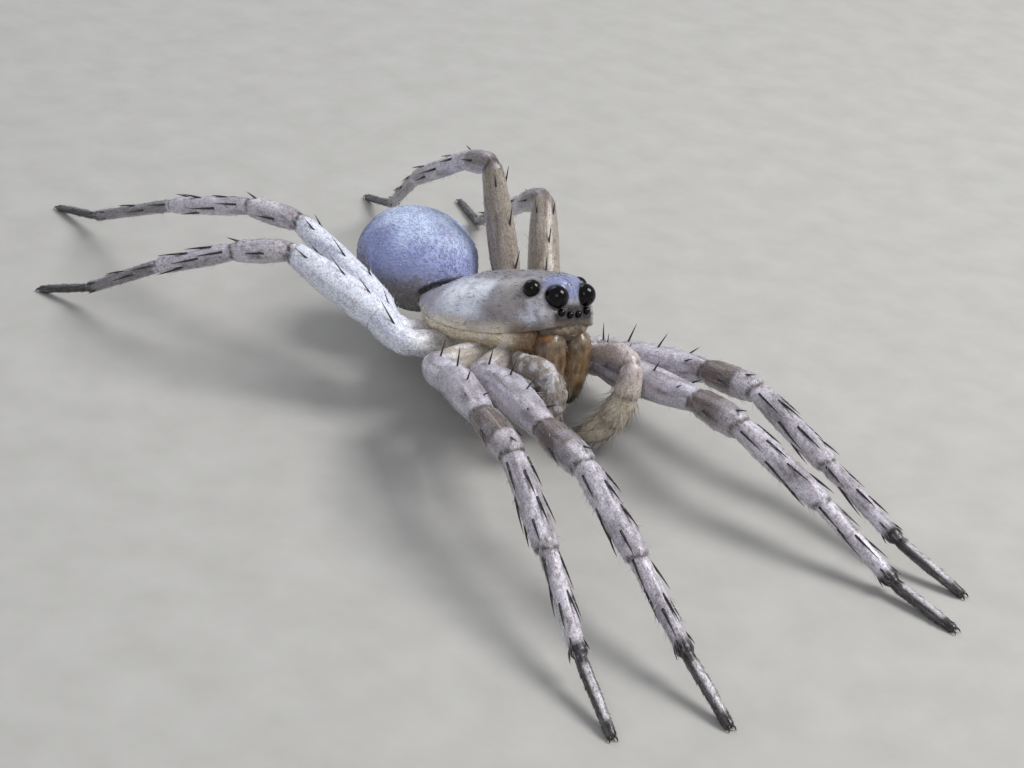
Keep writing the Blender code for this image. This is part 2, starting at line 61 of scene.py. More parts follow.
# One pair of legs: where it starts, the lengths of its five segments, how stout the femur and the rest are
Pair = namedtuple("Pair", "hip lengths thigh girth")
PAIRS = {
    1: Pair((0.285, 0.355, -0.245), (0.795, 0.337, 0.558, 0.490, 0.369), 0.97, 1.00),
    2: Pair((0.125, 0.520, -0.235), (0.750, 0.336, 0.541, 0.539, 0.400), 0.95, 0.98),
    3: Pair((-0.165, 0.465, -0.180), (0.800, 0.330, 0.496, 0.624, 0.357), 0.94, 0.80),
    4: Pair((-0.320, 0.375, -0.150), (0.880, 0.343, 0.672, 0.867, 0.414), 0.84, 0.80),
}
SEGMENTS = ("femur", "patella", "tibia", "metatarsus", "tarsus")

# Pose: the heading of each segment, degrees to the left of +X, and its rise above level
Pose = namedtuple("Pose", "side pair headings rises")
POSES = {
    "leg_right_1": Pose(-1, 1, (-23, -11, -17, -15, -12), (8, -3, -17, -25)),
    "leg_right_2": Pose(-1, 2, (-27, -17, -24, -26, -22), (10, -5, -20, -22)),
    "leg_right_3": Pose(-1, 3, (-159, -150, -156, -169, -160), (23, -13, -24, -31)),
    "leg_right_4": Pose(-1, 4, (-174, -166, -174, -180, -178), (22, -3, -19, -25)),
    "leg_left_1": Pose(1, 1, (-1.5, -11, 2, 3, -1), (9, 5, -18, -25)),
    "leg_left_2": Pose(1, 2, (9.5, -1, -2, -10, 7), (12.5, 7, -19, -13)),
    "leg_left_3": Pose(1, 3, (141, 156, 151, 151, 157), (41, -29, -30, -30)),
    "leg_left_4": Pose(1, 4, (-178, 163, 165, 149, 162), (73, -19, -31, -34)),
}

# Radii along each segment of a leg of girth 1, as (share of the length, radius)
PROFILES = {
    "coxa": ((0, 0.078), (0.35, 0.080), (0.75, 0.078), (1, 0.070)),
    "femur": (
        (0, 0.074), (0.06, 0.083), (0.14, 0.080), (0.22, 0.088),
        (0.42, 0.099), (0.70, 0.092), (0.92, 0.076), (1, 0.064),
    ),
    "patella": ((0, 0.062), (0.12, 0.076), (0.50, 0.084), (0.85, 0.078), (1, 0.062)),
    "tibia": ((0, 0.056), (0.08, 0.063), (0.35, 0.067), (0.75, 0.063), (0.93, 0.061), (1, 0.049)),
    "metatarsus": ((0, 0.045), (0.06, 0.048), (0.35, 0.045), (0.80, 0.041), (0.94, 0.043), (1, 0.037)),
    "tarsus": ((0, 0.030), (0.10, 0.032), (0.50, 0.030), (0.85, 0.027), (0.97, 0.025), (1, 0.020)),
}
LEG_SIDES = 28
LEG_STEP = 0.011
TOE_START = 0.004
TOE_STEPS = np.array((0.003, 0.0012, 0.0003))
TOE_TAPER = (0.86, 0.62, 0.30)
SKIN_DEPTH = 0.985
HIP_BEND = 0.22
JOINT_FILLET = 0.065
JOINT_NOTCH = 0.11
JOINT_NOTCH_WIDTH = 0.010
JOINT_LIP = 0.040
JOINT_DEPTHS = (0.45, 0.75, 0.85, 1.15)

# Sections of the carapace as (x, half width, top, margin, crown sharpness)
CARAPACE_SECTIONS = np.array((
    (-0.500, 0.060, 0.018, 0.000, 2.0),
    (-0.488, 0.120, 0.026, -0.004, 2.0),
    (-0.440, 0.200, 0.044, -0.012, 2.0),
    (-0.340, 0.280, 0.086, -0.034, 2.0),
    (-0.200, 0.350, 0.146, -0.056, 2.1),
    (-0.050, 0.370, 0.190, -0.070, 2.1),
    (0.100, 0.345, 0.215, -0.076, 2.2),
    (0.220, 0.290, 0.230, -0.072, 2.4),
    (0.320, 0.248, 0.236, -0.056, 2.6),
    (0.400, 0.212, 0.235, -0.038, 2.6),
    (0.455, 0.190, 0.220, -0.022, 2.5),
    (0.488, 0.160, 0.190, -0.012, 2.3),
    (0.504, 0.130, 0.142, -0.006, 2.1),
    (0.510, 0.094, 0.085, 0.000, 2.0),
))
CARAPACE_LIP = 0.010
CARAPACE_SIDES = 112
CARAPACE_ROWS = 110
SECTION_STEPS = 24
FRONT_EYE_LEVEL = 0.052
RAY_CENTRE = -0.12

# Underside of the front body, as (x, half width, depth), and the short first segments of the palps
PLATE_SECTIONS = np.array((
    (-0.420, 0.080, 0.070), (-0.400, 0.130, 0.110), (-0.300, 0.190, 0.140), (-0.100, 0.240, 0.165),
    (0.100, 0.240, 0.185), (0.220, 0.200, 0.185), (0.300, 0.140, 0.150), (0.330, 0.090, 0.110),
))
PLATE_TOP = -0.116
PLATE_SIDES = 48
COXA_ROOT = 0.42
COXA_LEVEL = -0.205
PALP_COXA = ((0.200, 0.080, -0.200), (0.260, 0.130, -0.200), (0.322, 0.176, -0.190))
PALP_COXA_RADII = (0.060, 0.062, 0.046)

# The soft skin reaches down to here, and the face is a short bar across the jaws' roots
PLEURA_LOW = -0.215
PLEURA_SIDES = 72
FACE_PATH = (
    (0.418, -0.145, -0.030), (0.436, -0.090, -0.028), (0.444, 0.000, -0.026),
    (0.436, 0.090, -0.028), (0.418, 0.145, -0.030),
)
FACE_RADII = (0.036, 0.064, 0.070, 0.064, 0.036)

# Abdomen: a globe behind the carapace, lifted and turned on its narrow waist
WAIST = np.array((-0.470, 0.0, -0.085))
WAIST_RADII = (0.05, 0.042, 0.06)
ABDOMEN_SIZE = np.array((0.690, 0.650, 0.560))
ABDOMEN_REACH = 0.360
ABDOMEN_LIFT = 42.0
ABDOMEN_TURN = 5.3
ABDOMEN_RISE = 14.0
ABDOMEN_FULLNESS = 0.92
ABDOMEN_ROWS = 90
ABDOMEN_SIDES = 120
SHIELD_CLEARANCE = 0.030
SPINNERET_RISE = -14.0

# Eyes: heading and rise from the middle of the head, radius, and share of the ball that is sunk
HEAD_MIDDLE = (0.330, 0.0, 0.060)
Eye = namedtuple("Eye", "heading rise radius sunk")
EYES = {
    "eye_median_rear": Eye(32, 24, 0.061, 0.67),
    "eye_lateral_rear": Eye(78, 33, 0.048, 0.66),
    "eye_median_front": Eye(9, -3, 0.020, 0.50),
    "eye_lateral_front": Eye(26, 1, 0.020, 0.50),
}
EYE_ROWS = 28
EYE_SIDES = 40

# Jaws: axis of a chelicera from inside the head, its radii, and the fang
JAW_PATH = (
    (0.425, 0.080, -0.010), (0.434, 0.084, -0.066), (0.450, 0.088, -0.130),
    (0.449, 0.084, -0.248), (0.432, 0.072, -0.362), (0.416, 0.062, -0.424),
)
JAW_RADII = (0.050, 0.066, 0.082, 0.078, 0.060, 0.040)
FANG_PATH = (
    (0.424, 0.062, -0.389), (0.400, 0.052, -0.464), (0.360, 0.044, -0.496), (0.320, 0.044, -0.496),
)
FANG_RADII = (0.030, 0.024, 0.016, 0.005)

# Palps, the short feelers beside the jaws: points from root by the knee to the tip, and radii
Palp = namedtuple("Palp", "side points radii")
PALPS = {
    "palp_left": Palp(1, (
        (0.345, 0.200, -0.190), (0.480, 0.240, -0.170), (0.660, 0.210, -0.146), (0.755, 0.185, -0.205),
        (0.745, 0.172, -0.330), (0.680, 0.162, -0.450), (0.575, 0.136, -0.545), (0.485, 0.105, -0.580),
    ), (0.042, 0.050, 0.060, 0.060, 0.070, 0.075, 0.068, 0.032)),
    "palp_right": Palp(-1, (
        (0.345, 0.200, -0.190), (0.430, 0.236, -0.205), (0.530, 0.232, -0.215), (0.600, 0.212, -0.265),
        (0.608, 0.203, -0.340), (0.575, 0.192, -0.410), (0.505, 0.180, -0.470), (0.450, 0.170, -0.495),
    ), (0.042, 0.056, 0.066, 0.062, 0.070, 0.068, 0.058, 0.028)),
}
PALP_KNEE = 3
PALP_STEPS = 14

# Camera: the photograph's viewing angle, with its distance in shares of the carapace; the floor in metres
VIEW_DOWN = 28.7
VIEW_ROLL = 5.5
VIEW_TURN = 44.3
VIEW_DISTANCE = 10.74
VIEW_CENTRE = (-0.078, -0.155, 0.0)
VIEW_LENS = 70.17
SENSOR_WIDTH = 36
FLOOR_HALF = 0.6

# Colours of the leg, as linear reflectance
PALE = (0.55, 0.52, 0.60)
# Chalk of the near rear femora, with painted light in it
CHALK_LIT = (0.84, 0.88, 1.0)
MAUVE = (0.57, 0.53, 0.59)
DUSK = (0.66, 0.62, 0.70)
# Tan of the far rear femora, with painted shade in it
TAN_SHADED = (0.36, 0.31, 0.25)
BROWN = (0.14, 0.095, 0.075)
INK = (0.022, 0.017, 0.017)
WHITE = (0.86, 0.87, 0.95)


def unit(vectors):
    """Vectors scaled to length one."""
    return vectors / np.maximum(np.linalg.norm(vectors, axis=-1, keepdims=True), 1e-12)


def heading_vector(heading, rise):
    """Unit vector with a heading to the left of +X and a rise above level, in degrees."""
    turn, lift = math.radians(heading), math.radians(rise)
    return np.array((math.cos(lift) * math.cos(turn), math.cos(lift) * math.sin(turn), math.sin(lift)))


# Rotation from the front body's own frame to the model's, and the hair's way to its rear
NOSE_TURN = Matrix.Rotation(-math.radians(NOSE_UP), 3, "Y")
BODY = np.array(NOSE_TURN @ Matrix.Rotation(-math.radians(ROLL_TO_LEFT), 3, "X"))
BACKWARD = BODY @ (-1.0, 0.0, 0.0)
SHIELD_FLOW = BODY @ (-1.0, 0.0, -0.15)
FACE_UP = BODY @ (1.0, 0.0, 0.0)


def from_body(points):
    """Points of the front body's own frame, carried to the model's."""
    return np.asarray(points) @ BODY.T + np.array((0.0, 0.0, BODY_HEIGHT))


def to_metres(points):
    """Points in shares of the carapace, carried to the model's place and size."""
    return (np.asarray(points) + SHIFT) * CARAPACE


def turns(sides):
    """Angles round a ring that starts underneath."""
    return -math.pi / 2 - TAU * np.arange(sides) / sides


def lumps(points, size, seed):
    """Smooth noise from -1 to 1 at points, whose lumps are about as wide as size."""
    flat = points.reshape(-1, 3) / size + seed
    return np.array([noise.noise(Vector(p)) for p in flat]).reshape(points.shape[:-1])


def mix(a, b, share):
    """Blend two colours, or fields of colours, by a share from 0 to 1."""
    share = np.clip(np.asarray(share, float), 0, 1)[..., None]
    return np.asarray(a) * (1 - share) + np.asarray(b) * share


def layered(tint, *layers):
    """A field of colours with layers over it, each a colour and its share."""
    for colour, share in layers:
        tint = mix(tint, colour, share)
    return tint


def bump(value, centre, width):
    """A soft hump of height one round a centre."""
    return np.exp(-((value - centre) / width) ** 2)


def step(value, low, high):
    """A smooth rise from 0 at low to 1 at high."""
    t = np.clip((value - low) / (high - low), 0, 1)
    return t * t * (3 - 2 * t)


def plateau(value, *limits):
    """A smooth rise between the first two limits and a fall between the last two."""
    return step(value, *limits[:2]) * (1 - step(value, *limits[2:]))


def mirrored(points, side):
    """Points of the left side as they are, or mirrored to the right."""
    return np.asarray(points) * (1, side, 1)


def distances(path):
    """Distance along a path at each of its points."""
    return np.concatenate(((0.0,), np.cumsum(np.linalg.norm(np.diff(path, axis=0), axis=1))))


def circle(first, second, angle):
    """Directions round a ring that turns from its first axis to its second."""
    return first[..., None, :] * np.cos(angle)[:, None] + second[..., None, :] * np.sin(angle)[:, None]


def curve_through(points, radii, steps):
    """A smooth curve through points, with radii, as arrays."""
    points = np.asarray(points, float)
    ends = np.vstack((points[0] * 2 - points[1], points, points[-1] * 2 - points[-2]))
    sizes = np.concatenate(((radii[0],), radii, (radii[-1],)))
    path, girths = [], []
    for i in range(len(points) - 1):
        for t in np.arange(steps) / steps:
            weights = np.array((
                -t + 2 * t * t - t ** 3, 2 - 5 * t * t + 3 * t ** 3,
                t + 4 * t * t - 3 * t ** 3, -t * t + t ** 3,
            )) / 2
            path.append(weights @ ends[i:i + 4])
            girths.append(weights @ sizes[i:i + 4])
    return np.array((*path, points[-1])), np.array((*girths, radii[-1]))


def sweep(centres, radii, sides, up=(0.0, 0.0, 1.0)):
    """Rings round a path, the seam underneath: points, tangents, spokes and the angle from the top."""
    along = unit(np.gradient(centres, axis=0))
    up = np.asarray(up, float)
    top = unit(up - along * (along @ up)[:, None])
    angle = -math.pi + TAU * np.arange(sides) / sides
    spokes = circle(top, np.cross(along, top), angle)
    return centres[:, None] + spokes * radii[:, None, None], along[:, None], spokes, angle


def tube_lie(s, radii, angle, start):
    """Place of a tube's skin in its noise: the way along it and its own cross section."""
    across = radii[:, None, None] * np.stack((np.cos(angle), np.sin(angle)), axis=-1)[None]
    return np.concatenate((s[:, None, None] + start + 0 * across[..., :1], across), axis=-1)


def ring_normals(points):
    """Outward directions of a tube of rings."""
    around = np.roll(points, -1, axis=1) - np.roll(points, 1, axis=1)
    return unit(np.cross(around, np.gradient(points, axis=0)))


SHELLS = {}


def add_shell(name, points, flow, lie, tint, look):
    """Keep a closed tube of rings: its points, the way of its hair, its place in noise, its colours."""
    SHELLS[name] = SimpleNamespace(
        points=points, flow=unit(flow + 0 * points), lie=lie, tint=tint + 0 * points, look=look,
        normals=ring_normals(points),
    )
    return SHELLS[name]


def add_tube(name, path, radii, sides, tint, look="cuticle", up=(0.0, 0.0, 1.0)):
    """Keep a plain round tube along a path."""
    points, along, _, _ = sweep(path, radii, sides, up)
    add_shell(name, points, along, points, tint, look)


def ring_quads(rows, sides):
    """Quads between neighbouring rings, with the indices round a ring and those next to them."""
    i = np.arange(rows - 1)[:, None] * sides
    k = np.arange(sides)
    j = (k + 1) % sides
    return np.stack((i + k, i + j, i + sides + j, i + sides + k), axis=-1).reshape(-1, 4), k, j


def grid_faces(rows, sides, offset=0):
    """Quads of a tube of rings, and the fans of its two ends, as index lists."""
    quads, k, j = ring_quads(rows, sides)
    first = offset + rows * sides
    end = first - sides
    fans = np.concatenate((
        np.stack((offset + j, offset + k, np.full(sides, first)), axis=-1),
        np.stack((end + k, end + j, np.full(sides, first + 1)), axis=-1),
    ))
    return quads + offset, fans


def coxa_root(hip):
    """Where a coxa starts inside the plate."""
    return np.array((hip[0] * 0.75, hip[1] * COXA_ROOT, COXA_LEVEL))


def leg_joints(pose):
    """The joint centres of one leg from coxa root to toe."""
    pair = PAIRS[pose.pair]
    hip = mirrored(pair.hip, pose.side)
    points = [from_body(coxa_root(hip)), from_body(hip)]
    for heading, rise, length in zip(pose.headings, pose.rises, pair.lengths):
        points.append(points[-1] + heading_vector(heading, rise) * length)
    drop = FOOT_AXIS_HEIGHT - points[-1][2]
    rise = math.degrees(math.asin(drop / pair.lengths[-1]))
    points.append(points[-1] + heading_vector(pose.headings[-1], rise) * pair.lengths[-1])
    return np.array(points)


def leg_centre_line(joints, starts, stations, outward):
    """Points at distances along a leg, its joints rounded by short curves."""
    centres = []
    for s in stations:
        i = int(np.clip(np.searchsorted(starts, s, side="right") - 1, 0, len(joints) - 2))
        away = s - starts[i]
        point = joints[i] + unit(joints[i + 1] - joints[i]) * away
        if i == 1 and away < HIP_BEND:
            point = point + (joints[1] + outward * away - point) * (1 - away / HIP_BEND)
        for j in range(2, len(joints) - 1):
            t = (s - starts[j] + JOINT_FILLET) / (2 * JOINT_FILLET)
            if 0 < t < 1:
                before = joints[j] - unit(joints[j] - joints[j - 1]) * JOINT_FILLET
                after = joints[j] + unit(joints[j + 1] - joints[j]) * JOINT_FILLET
                point = before * (1 - t) ** 2 + joints[j] * 2 * t * (1 - t) + after * t * t
        centres.append(point)
    return np.array(centres)


def leg_radii(starts, stations, pair):
    """Radius at distances along a leg, with a collar and a notch at each joint."""
    radii = np.zeros(len(stations))
    for i, kind in enumerate(("coxa", *SEGMENTS)):
        share = (stations - starts[i]) / (starts[i + 1] - starts[i])
        inside = (share >= 0) & (share <= 1.0001)
        scale = {"coxa": 1.0, "femur": pair.thigh}.get(kind, pair.girth)
        radii[inside] = np.interp(share[inside], *zip(*PROFILES[kind])) * scale
    kernel = np.array((1, 2, 3, 2, 1)) / 9
    radii = np.convolve(np.pad(radii, 2, mode="edge"), kernel, mode="valid")
    for place, depth in zip(starts[2:-1], JOINT_DEPTHS):
        radii *= 1 - JOINT_NOTCH * depth * bump(stations, place + 0.003, JOINT_NOTCH_WIDTH)
        radii *= 1 + JOINT_LIP * depth * bump(stations, place - 0.020, 0.018)
    return radii * (1 - 0.05 * bump(stations, starts[1] + 0.11 * (starts[2] - starts[1]), 0.016))


def leg_tint(pose, starts, stations, angle, lie):
    """Colour of the leg's skin from its segment, the share along it and the angle round it."""
    s = stations[:, None] + 0 * angle[None, :]
    upper = np.cos(angle)[None, :] + 0 * s
    rear = pose.pair >= 3
    far_rear = rear and pose.side > 0
    seed = pose.pair * 3.1 + pose.side
    streaks = lumps(lie * (0.16, 1, 1), 0.030, seed)
    broad = lumps(lie * (0.45, 1, 1), 0.075, seed + 11)
    fine = lumps(lie, 0.022, seed + 23)

    def share(i):
        return (s - starts[i]) / (starts[i + 1] - starts[i])

    def between(i, low, high):
        return plateau(share(i), low - 0.04, low + 0.04, high - 0.04, high + 0.04)

    # The femur: pale in front with a painted highlight on its top; behind, chalky with painted light on the
    # near side and tan with painted shade on the far side
    distal = np.array(DUSK if rear else MAUVE)
    tint = np.zeros(lie.shape) + (TAN_SHADED if far_rear else (CHALK_LIT if rear else PALE))
    tint = mix(tint, (0.50, 0.45, 0.36), step(-share(1), -0.10, 0.06) * 0.85)
    if far_rear:
        tint = mix(tint, BROWN, step(streaks, 0.12, 0.42) * 0.55)
        tint = mix(tint, (0.12, 0.10, 0.11), step(share(1), 0.93, 0.99) * 0.75)
    elif rear:
        tint = mix(tint, (0.80, 0.84, 0.98), step(broad + streaks, 0.0, 0.5) * 0.6)
        # Painted shade: blue-grey streaks on the near rear femora
        tint = mix(tint, (0.50, 0.50, 0.66), step(-streaks - 0.4 * broad, 0.15, 0.5) * 0.50)
        tint = mix(tint, WHITE, bump(s, starts[1], 0.06) * step(fine, -0.4, 0.1) * 0.9)
    else:
        # Painted highlight: white streaks on the top of the front femora
        tint = mix(tint, WHITE, step(streaks + 0.5 * fine, 0.16, 0.50) * step(upper, -0.5, 0.3) * 0.75)
        tint = mix(tint, (0.25, 0.21, 0.23), step(-streaks - 0.5 * broad, 0.05, 0.45) * 0.75)
        for centre, width in ((0.075, 0.010), (0.145, 0.012)):
            arc = bump(share(1) + 0.045 * (1 - upper), centre, width) * step(upper, 0.1, 0.6)
            tint = mix(tint, BROWN, arc * step(fine, -0.5, 0.1) * 0.55)

    # The segments beyond it, blotched, with a dark knee, a dark foot, and a stripe along the top of the foot:
    # a painted highlight on the front legs, dark on the rear ones
    beyond = step(share(2), 0.0, 0.1) * (1 - step(share(5), -0.02, 0.02))
    knee = between(2, 0.0, 0.66) * step(upper, -0.7, 0.1) * step(broad + 0.4 * streaks, -0.65, -0.10)
    if rear and not far_rear:
        knee = between(2, -0.1, 0.08) * step(fine, -0.3, 0.2)
    # Painted highlight on the front legs: a pale stripe along the top of the tarsus; on the rear legs the
    # stripe is dark
    top_stripe = step(upper + 0.15 * streaks, 0.70, 0.92) * between(5, 0.12, 0.80)
    speck = step(fine, 0.26, 0.46) * (1 - step(share(5), -0.1, 0.0)) * (0.5 if rear else 0.45)
    tint = layered(
        tint,
        (distal * (0.95, 0.95, 0.92), step(share(2), -0.02, 0.01)),
        (distal * 1.12, step(share(3), 0.0, 0.04)),
        (distal * (0.38 if rear else 1.20), step(share(4), 0.0, 0.06)),
        ((0.66, 0.64, 0.72) if rear else WHITE,
            step(streaks + 0.6 * broad, 0.12, 0.5) * beyond * (0.4 if rear else 0.55)),
        (distal * 0.36, step(-broad - 0.6 * streaks, 0.02, 0.40) * beyond * 0.60),
        ((0.135, 0.098, 0.085), knee * (0.75 if rear else 0.92)),
        ((0.045, 0.038, 0.040) if rear else (0.062, 0.052, 0.050), step(share(5), -0.01, 0.03)),
        ((0.15, 0.14, 0.15) if rear else (0.70, 0.68, 0.71), top_stripe * 0.9),
        (INK, step(share(5), 0.80, 0.93)),
        (BROWN, speck * (0.4 + 0.6 * step(share(2), -0.3, 0.1))),
    )

    # A dark ring at each joint, a painted glint on the top just before it, and the black end of the
    # metatarsus
    wave = 0.010 * np.cos(2 * angle)[None, :] - 0.004
    for j in (2, 3, 4):
        ring = bump(s, starts[j] + 0.002 + wave, 0.010) * step(fine, -0.7, -0.2) * step(upper, -0.8, -0.1)
        # Painted glint: white on the top of each segment just before its joint
        end_glint = bump(s, starts[j] - 0.022 + wave, 0.010) * step(upper, -0.2, 0.5) * step(fine, -0.1, 0.3)
        tint = mix(tint, (0.075, 0.048, 0.040), np.clip(ring * 1.4, 0, 1) * 0.92)
        tint = mix(tint, WHITE, end_glint * 0.25)
    return mix(tint, (0.010, 0.006, 0.005), np.clip(bump(s, starts[5] - 0.012, 0.040) * 1.9, 0, 1) * 0.98)


def add_leg(name, pose):
    """One leg in one skin, from inside the body to the toe."""
    pair = PAIRS[pose.pair]
    joints = leg_joints(pose)
    starts = distances(joints)
    hip = mirrored(pair.hip, pose.side)
    outward = unit(BODY @ (hip - coxa_root(hip)))
    stations = np.concatenate((np.arange(0.0, starts[-1] - TOE_START, LEG_STEP), starts[-1] - TOE_STEPS))
    centres = leg_centre_line(joints, starts, stations, outward)
    radii = leg_radii(starts, stations, pair) * SKIN_DEPTH
    radii[-3:] *= TOE_TAPER
    points, along, spokes, angle = sweep(centres, radii, LEG_SIDES)
    lie = tube_lie(stations, radii, angle, 5.0 * pose.pair + 20.0 * (pose.side > 0))
    relief = lumps(lie * (0.35, 1, 1), 0.045, 2.0) * 0.0030 + lumps(lie * (0.5, 1, 1), 0.020, 9.0) * 0.0012
    points += spokes * (relief - 0.0015)[..., None]
    points[..., 2] = np.maximum(points[..., 2], FLOOR_CLEARANCE)
    shell = add_shell(name, points, along, lie, leg_tint(pose, starts, stations, angle, lie), "cuticle")
    shell.starts = starts
    shell.stations = stations
    shell.toe = centres[-1]


def carapace_grid():
    """Fine sections of the carapace: an arched top over a nearly flat belly."""
    fine, _ = curve_through(CARAPACE_SECTIONS, CARAPACE_SECTIONS[:, 0], SECTION_STEPS)
    knots = np.linspace(0, len(CARAPACE_SECTIONS) - 1, CARAPACE_ROWS)
    index = np.arange(len(fine)) / SECTION_STEPS
    x, half_width, top, margin, power = (np.interp(knots, index, column)[:, None] for column in fine.T)
    angle = turns(CARAPACE_SIDES)
    across = np.sign(np.cos(angle)) * np.abs(np.cos(angle)) ** (2 / power)
    rise = np.abs(np.sin(angle)) ** (2 / power)
    z = np.where(np.sin(angle) >= 0, margin + (top - margin) * rise, margin - CARAPACE_LIP * rise)
    return np.stack((x + 0 * z, half_width * across, z), axis=-1)


def eye_places(grid):
    """Centre, radius and outward direction of each eye, from rays out of the head to its surface."""
    middle = np.vstack((grid.reshape(-1, 3), grid[0].mean(0), grid[-1].mean(0)))
    quads, fans = grid_faces(*grid.shape[:2])
    surface = BVHTree.FromPolygons(middle.tolist(), quads.tolist() + fans.tolist())
    places = {}
    for name, eye in EYES.items():
        for side, word in HANDS:
            ray = heading_vector(eye.heading * side, eye.rise)
            spot, normal, _, _ = surface.ray_cast(Vector(HEAD_MIDDLE), Vector(ray))
            normal = np.array(normal)
            normal *= np.sign(normal @ ray)
            depth = (2 * eye.sunk - 1) * eye.radius
            places[f"{name}_{word}"] = (np.array(spot) - normal * depth, eye.radius, normal)
    return places


def ray_field(x, y, near, far):
    """Faint rays that fan out over the shield from its furrow, from -1 to 1."""
    away = x - RAY_CENTRE
    return np.cos(7 * np.arctan2(y, away)) * step(np.hypot(y, away), near, far)


def carapace_tint(grid):
    """Shield grey along its top, with a painted bluish-white reflection on its flanks, white beside and
    between the eyes, brown on the face.
    """
    x, y, z = np.moveaxis(grid, -1, 0)
    side = np.abs(y)
    broad = lumps(grid, 0.10, 9.0)
    fine = lumps(grid, 0.035, 4.0)
    streak = lumps(grid * (1, 0.4, 0.3), 0.035, 6.0)
    crest = step(z + 0.25 * (0.30 - side), 0.17, 0.26) * step(x, -0.30, 0.0)
    band = bump(x + 0.3 * z, 0.215, 0.030) * step(side, 0.08, 0.2)
    top = step(z, 0.10, 0.15) * plateau(x, -0.10, 0.05, 0.30, 0.40)
    temple = step(x, 0.17, 0.26) * step(side, 0.12, 0.20)
    # Painted reflection: streaky bluish-white patches low on the flanks stand for light glancing off the
    # shield
    flank_reflection = bump(x, 0.01 + 0.05 * broad, 0.145) * step(side, 0.15, 0.24) * step(z, -0.035, 0.02)
    flank_reflection *= 1 - step(x, 0.13, 0.18)
    patch = 0.72 + 0.28 * step(streak + 0.5 * broad, -0.6, 0.2)
    low = (1 - step(z + 0.02 * broad, -0.060, 0.005)) * (1 - step(x, 0.24, 0.40))
    crown = step(x, 0.36, 0.43) * (1 - step(side, 0.11, 0.17)) * step(z, 0.115, 0.16)
    face = step(x - 0.9 * (z - 0.03), 0.375, 0.425) * (1 - step(z, 0.085, 0.12))
    cheek = np.clip(1.3 * bump(x, 0.425, 0.060) * step(side, 0.10, 0.15) * bump(z, 0.045, 0.055), 0, 1)
    chin = plateau(x, 0.26, 0.36, 0.40, 0.46) * (1 - step(z, -0.03, 0.02))
    bar = step(x, 0.45, 0.48) * bump(z, FRONT_EYE_LEVEL + 0.006, 0.036) * (1 - step(side, 0.11, 0.14))
    rays = ray_field(x, y, 0.06, 0.16)
    tint = layered(
        np.zeros(grid.shape) + (0.47, 0.46, 0.53),
        ((0.21, 0.205, 0.23), crest * (0.85 + 0.15 * fine)),
        ((0.22, 0.20, 0.21), band * 0.70),
        ((0.30, 0.29, 0.32), top * 0.8),
        ((0.36, 0.33, 0.31), temple * 0.85),
        ((0.84, 0.89, 1.0), np.clip(flank_reflection * 1.4, 0, 1) * patch),
        ((0.84, 0.76, 0.60), low * 0.9),
        ((0.27, 0.31, 0.56), crown * (0.80 + 0.2 * fine)),
        ((0.105, 0.068, 0.030), face * (0.90 + 0.1 * fine)),
        ((0.84, 0.86, 0.97), cheek * step(0.4 * fine + 0.3 * broad, -0.5, 0.1) * 0.9),
        ((0.24, 0.18, 0.12), chin * 0.85),
        ((0.015, 0.012, 0.012), np.clip(bar * 2.0, 0, 1)),
        ((0.27, 0.25, 0.26), step(rays, 0.35, 1.0) * (1 - step(x, 0.06, 0.3)) * (1 - flank_reflection) * 0.5),
    )
    return np.clip(tint * (1 + 0.12 * broad + 0.12 * fine)[..., None], 0, 1)


def add_carapace():
    """The shield, with a furrow, faint rays, and a rim raised round each eye."""
    grid = carapace_grid()
    places = eye_places(grid)
    tint = carapace_tint(grid)
    x, y, z = np.moveaxis(grid, -1, 0)
    over = step(z, 0.02, 0.06)
    furrow = bump(x, -0.15, 0.055) * bump(y, 0, 0.012)
    rays = ray_field(x, y, 0.05, 0.13) * (1 - step(x, 0.05, 0.2))
    lift = (0.0022 * lumps(grid, 0.045, 4.0) - 0.012 * furrow - 0.0035 * np.clip(rays, 0, 1)) * over
    for centre, radius, _ in places.values():
        away = np.linalg.norm(grid - centre, axis=-1) / radius
        large = radius > 0.03
        lift += 0.14 * radius * bump(away, 1.10, 0.25) * large
        tint = mix(tint, (0.03, 0.028, 0.035), 1 - step(away, 1.0, 1.28 if large else 2.4))
    points = from_body(grid + ring_normals(grid) * lift[..., None])
    add_shell("carapace", points, SHIELD_FLOW, grid, tint, "shield")
    return places


def add_underside():
    """The plate below the carapace, which fills the space between it and the legs."""
    angle = turns(PLATE_SIDES)
    fine, _ = curve_through(PLATE_SECTIONS, PLATE_SECTIONS[:, 0], 8)
    x, half_width, depth = (column[:, None] for column in fine.T)
    rise = depth / 2 + np.where(np.sin(angle) > 0, 0.030, 0)
    z = PLATE_TOP - depth / 2 + rise * np.sin(angle)
    grid = np.stack((x + 0 * z, half_width * np.cos(angle), z), axis=-1)
    tint = (0.52, 0.47, 0.44) * (1 + 0.12 * lumps(grid, 0.06, 2.0))[..., None]
    add_shell("underside", from_body(grid), BACKWARD, grid, tint, "cuticle")
    for side, word in HANDS:
        path, radii = curve_through(mirrored(PALP_COXA, side), PALP_COXA_RADII, 8)
        add_tube(f"palp_coxa_{word}", from_body(path), radii, 28, (0.28, 0.22, 0.16))


